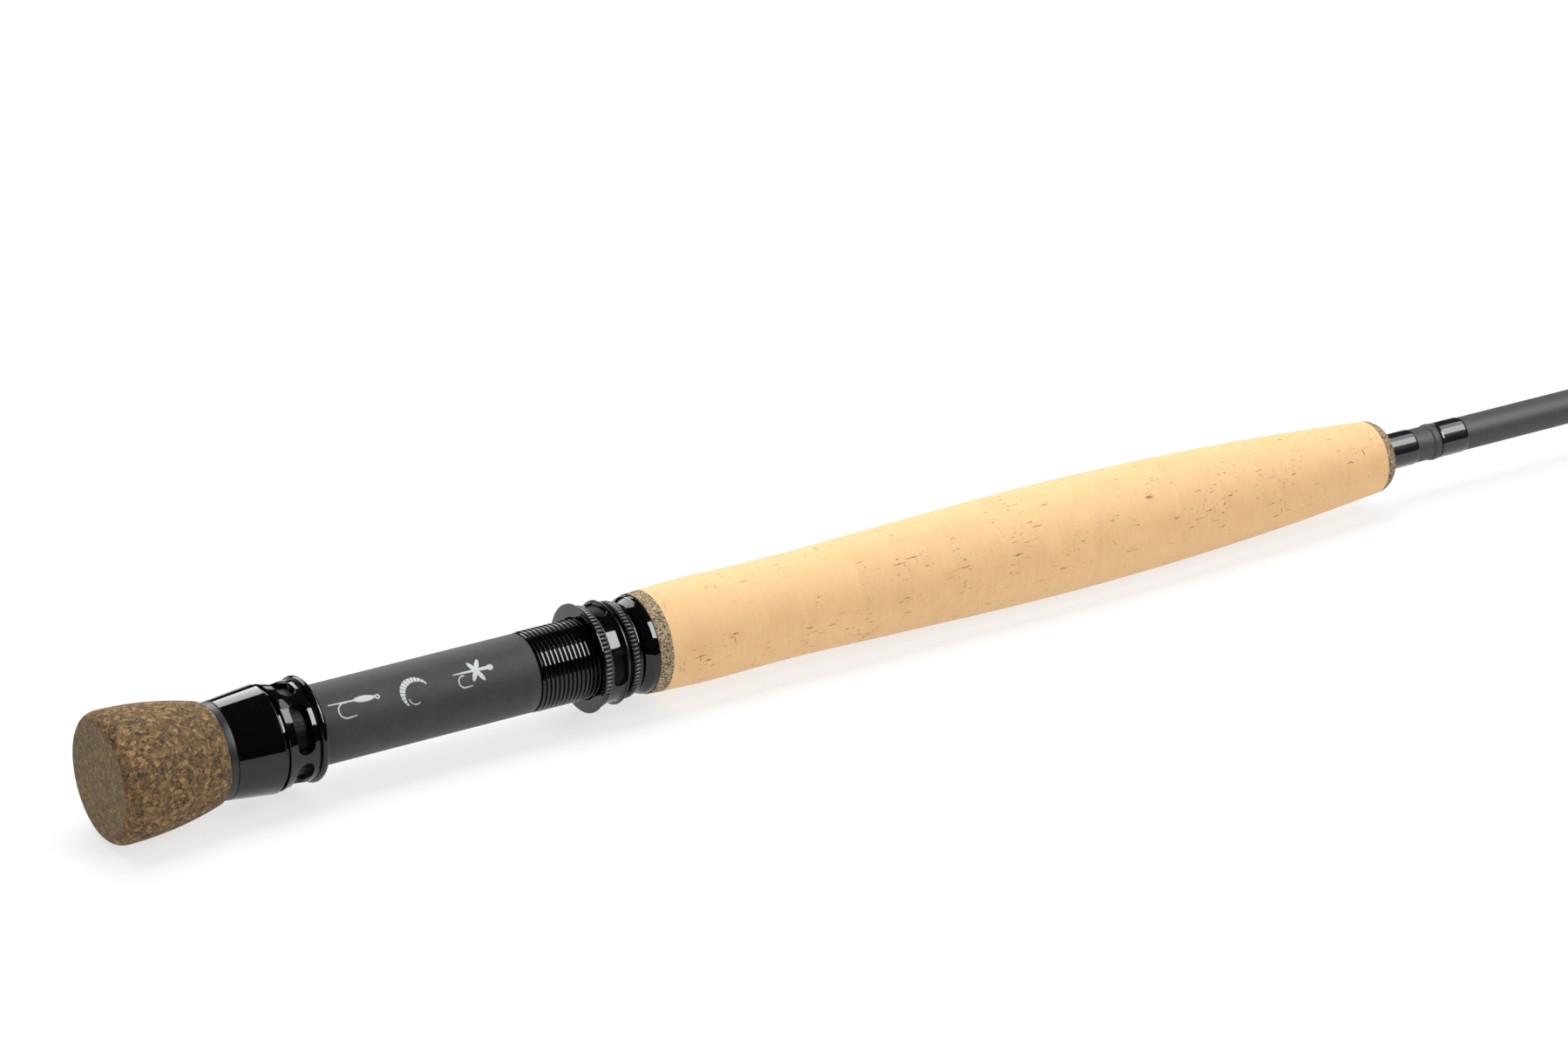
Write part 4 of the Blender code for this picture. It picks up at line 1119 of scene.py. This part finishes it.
def make_backdrop():
    """A large sphere that only camera rays meet."""
    shell = bmesh.new()
    bmesh.ops.create_icosphere(shell, subdivisions=3, radius=3 * FLOOR_REACH)
    bmesh.ops.reverse_faces(shell, faces=shell.faces)
    mesh = bpy.data.meshes.new("backdrop")
    shell.to_mesh(mesh)
    shell.free()
    white = plain_material("white_backdrop", (0.0, 0.0, 0.0), glow=1.0)
    set_stage(mesh, white, ("diffuse", "glossy", "transmission", "shadow"))


def make_black_card():
    """A low card in front of the rod that only reflections meet. It keeps the middle of the gloss black."""
    low, high = -BUTT_RADIUS * MM, -BUTT_RADIUS * MM + CARD_HEIGHT
    corners = [(x, -CARD_DISTANCE, z) for x, z in ((-0.2, low), (0.9, low), (0.9, high), (-0.2, high))]
    mesh = bpy.data.meshes.new("black_card")
    mesh.from_pydata(corners, [], [(0, 1, 2, 3)])
    black = plain_material("black_card", (0.005, 0.005, 0.005))
    set_stage(mesh, black, ("camera", "diffuse", "transmission", "shadow"))


make_floor()
make_backdrop()
make_black_card()

# %% [markdown]
# A lamp's place is given the way the rod's gloss sees it: how far it leans towards the tip, and its angle
# up from the viewer's side round the rod. Turned this way, its edges run along and across the rod, so that
# its reflection in a cylinder has straight edges. The fills are kept out of reflections, as wide bounced
# light would be. Other boxes are seen in reflections only: each puts one bright patch on a cone, a hood or
# a binding, and lights nothing else.

# %% Make the soft boxes
LIGHT_AIM = Vector((0.1, 0.0, 0.0))


def soft_box(name, lean, up, size, power, only=None, distance=1.6):
    """A rectangular lamp that looks at the rod. size is (along the rod, round the rod) in metres.

    only="light" keeps it out of reflections, and only="gloss" shows it in reflections alone.
    """
    lean, up = radians(lean), radians(up)
    towards = Vector((math.sin(lean), -math.cos(lean) * math.cos(up), math.cos(lean) * math.sin(up)))
    along = Vector((math.cos(lean), math.sin(lean) * math.cos(up), -math.sin(lean) * math.sin(up)))
    data = bpy.data.lights.new(name, "AREA")
    data.shape = "RECTANGLE"
    data.size, data.size_y = size
    data.energy = power
    made = new_object(name, data)
    made.location = LIGHT_AIM + towards * distance
    made.rotation_euler = Matrix((along, towards.cross(along), towards)).transposed().to_euler()
    made.visible_glossy = only != "light"
    made.visible_diffuse = only != "gloss"


# name, lean, up, size, power, only, distance
LAMPS = (
    ("key_light", 28.7, 47.0, (0.42, 1.10), 12.6, "light"),
    ("key_box", 27.5, 50.0, (0.50, 1.02), 22.0, "gloss"),
    ("rear_box", 14.5, 145.0, (0.50, 0.92), 8.5),
    ("collar_box", -9.0, 143.0, (0.55, 1.25), 11.0, "gloss"),
    ("crest_box", 31.0, 161.0, (0.40, 0.40), 1.0, "gloss"),
    ("tip_box", 42.0, 68.0, (0.45, 0.78), 8.5, "gloss"),
    ("tip_strip", 45.0, 101.0, (0.36, 0.58), 2.0, "gloss"),
    ("rear_fill", 15.0, 125.0, (1.2, 0.7), 11.5, "light", 1.5),
    ("overhead_fill", 5.0, 98.0, (2.2, 0.7), 19.0, "light", 1.5),
    ("butt_fill", -65.0, 35.0, (0.8, 0.8), 6.5, "light", 1.5),
)
for lamp in LAMPS:
    soft_box(*lamp)
print("lamps:", ", ".join(lamp[0] for lamp in LAMPS))

world = bpy.data.worlds.new("studio")
world.use_nodes = True
world.node_tree.nodes["Background"].inputs["Color"].default_value = (0.025, 0.025, 0.025, 1.0)
bpy.context.scene.world = world
bpy.context.scene.view_settings.view_transform = "Standard"
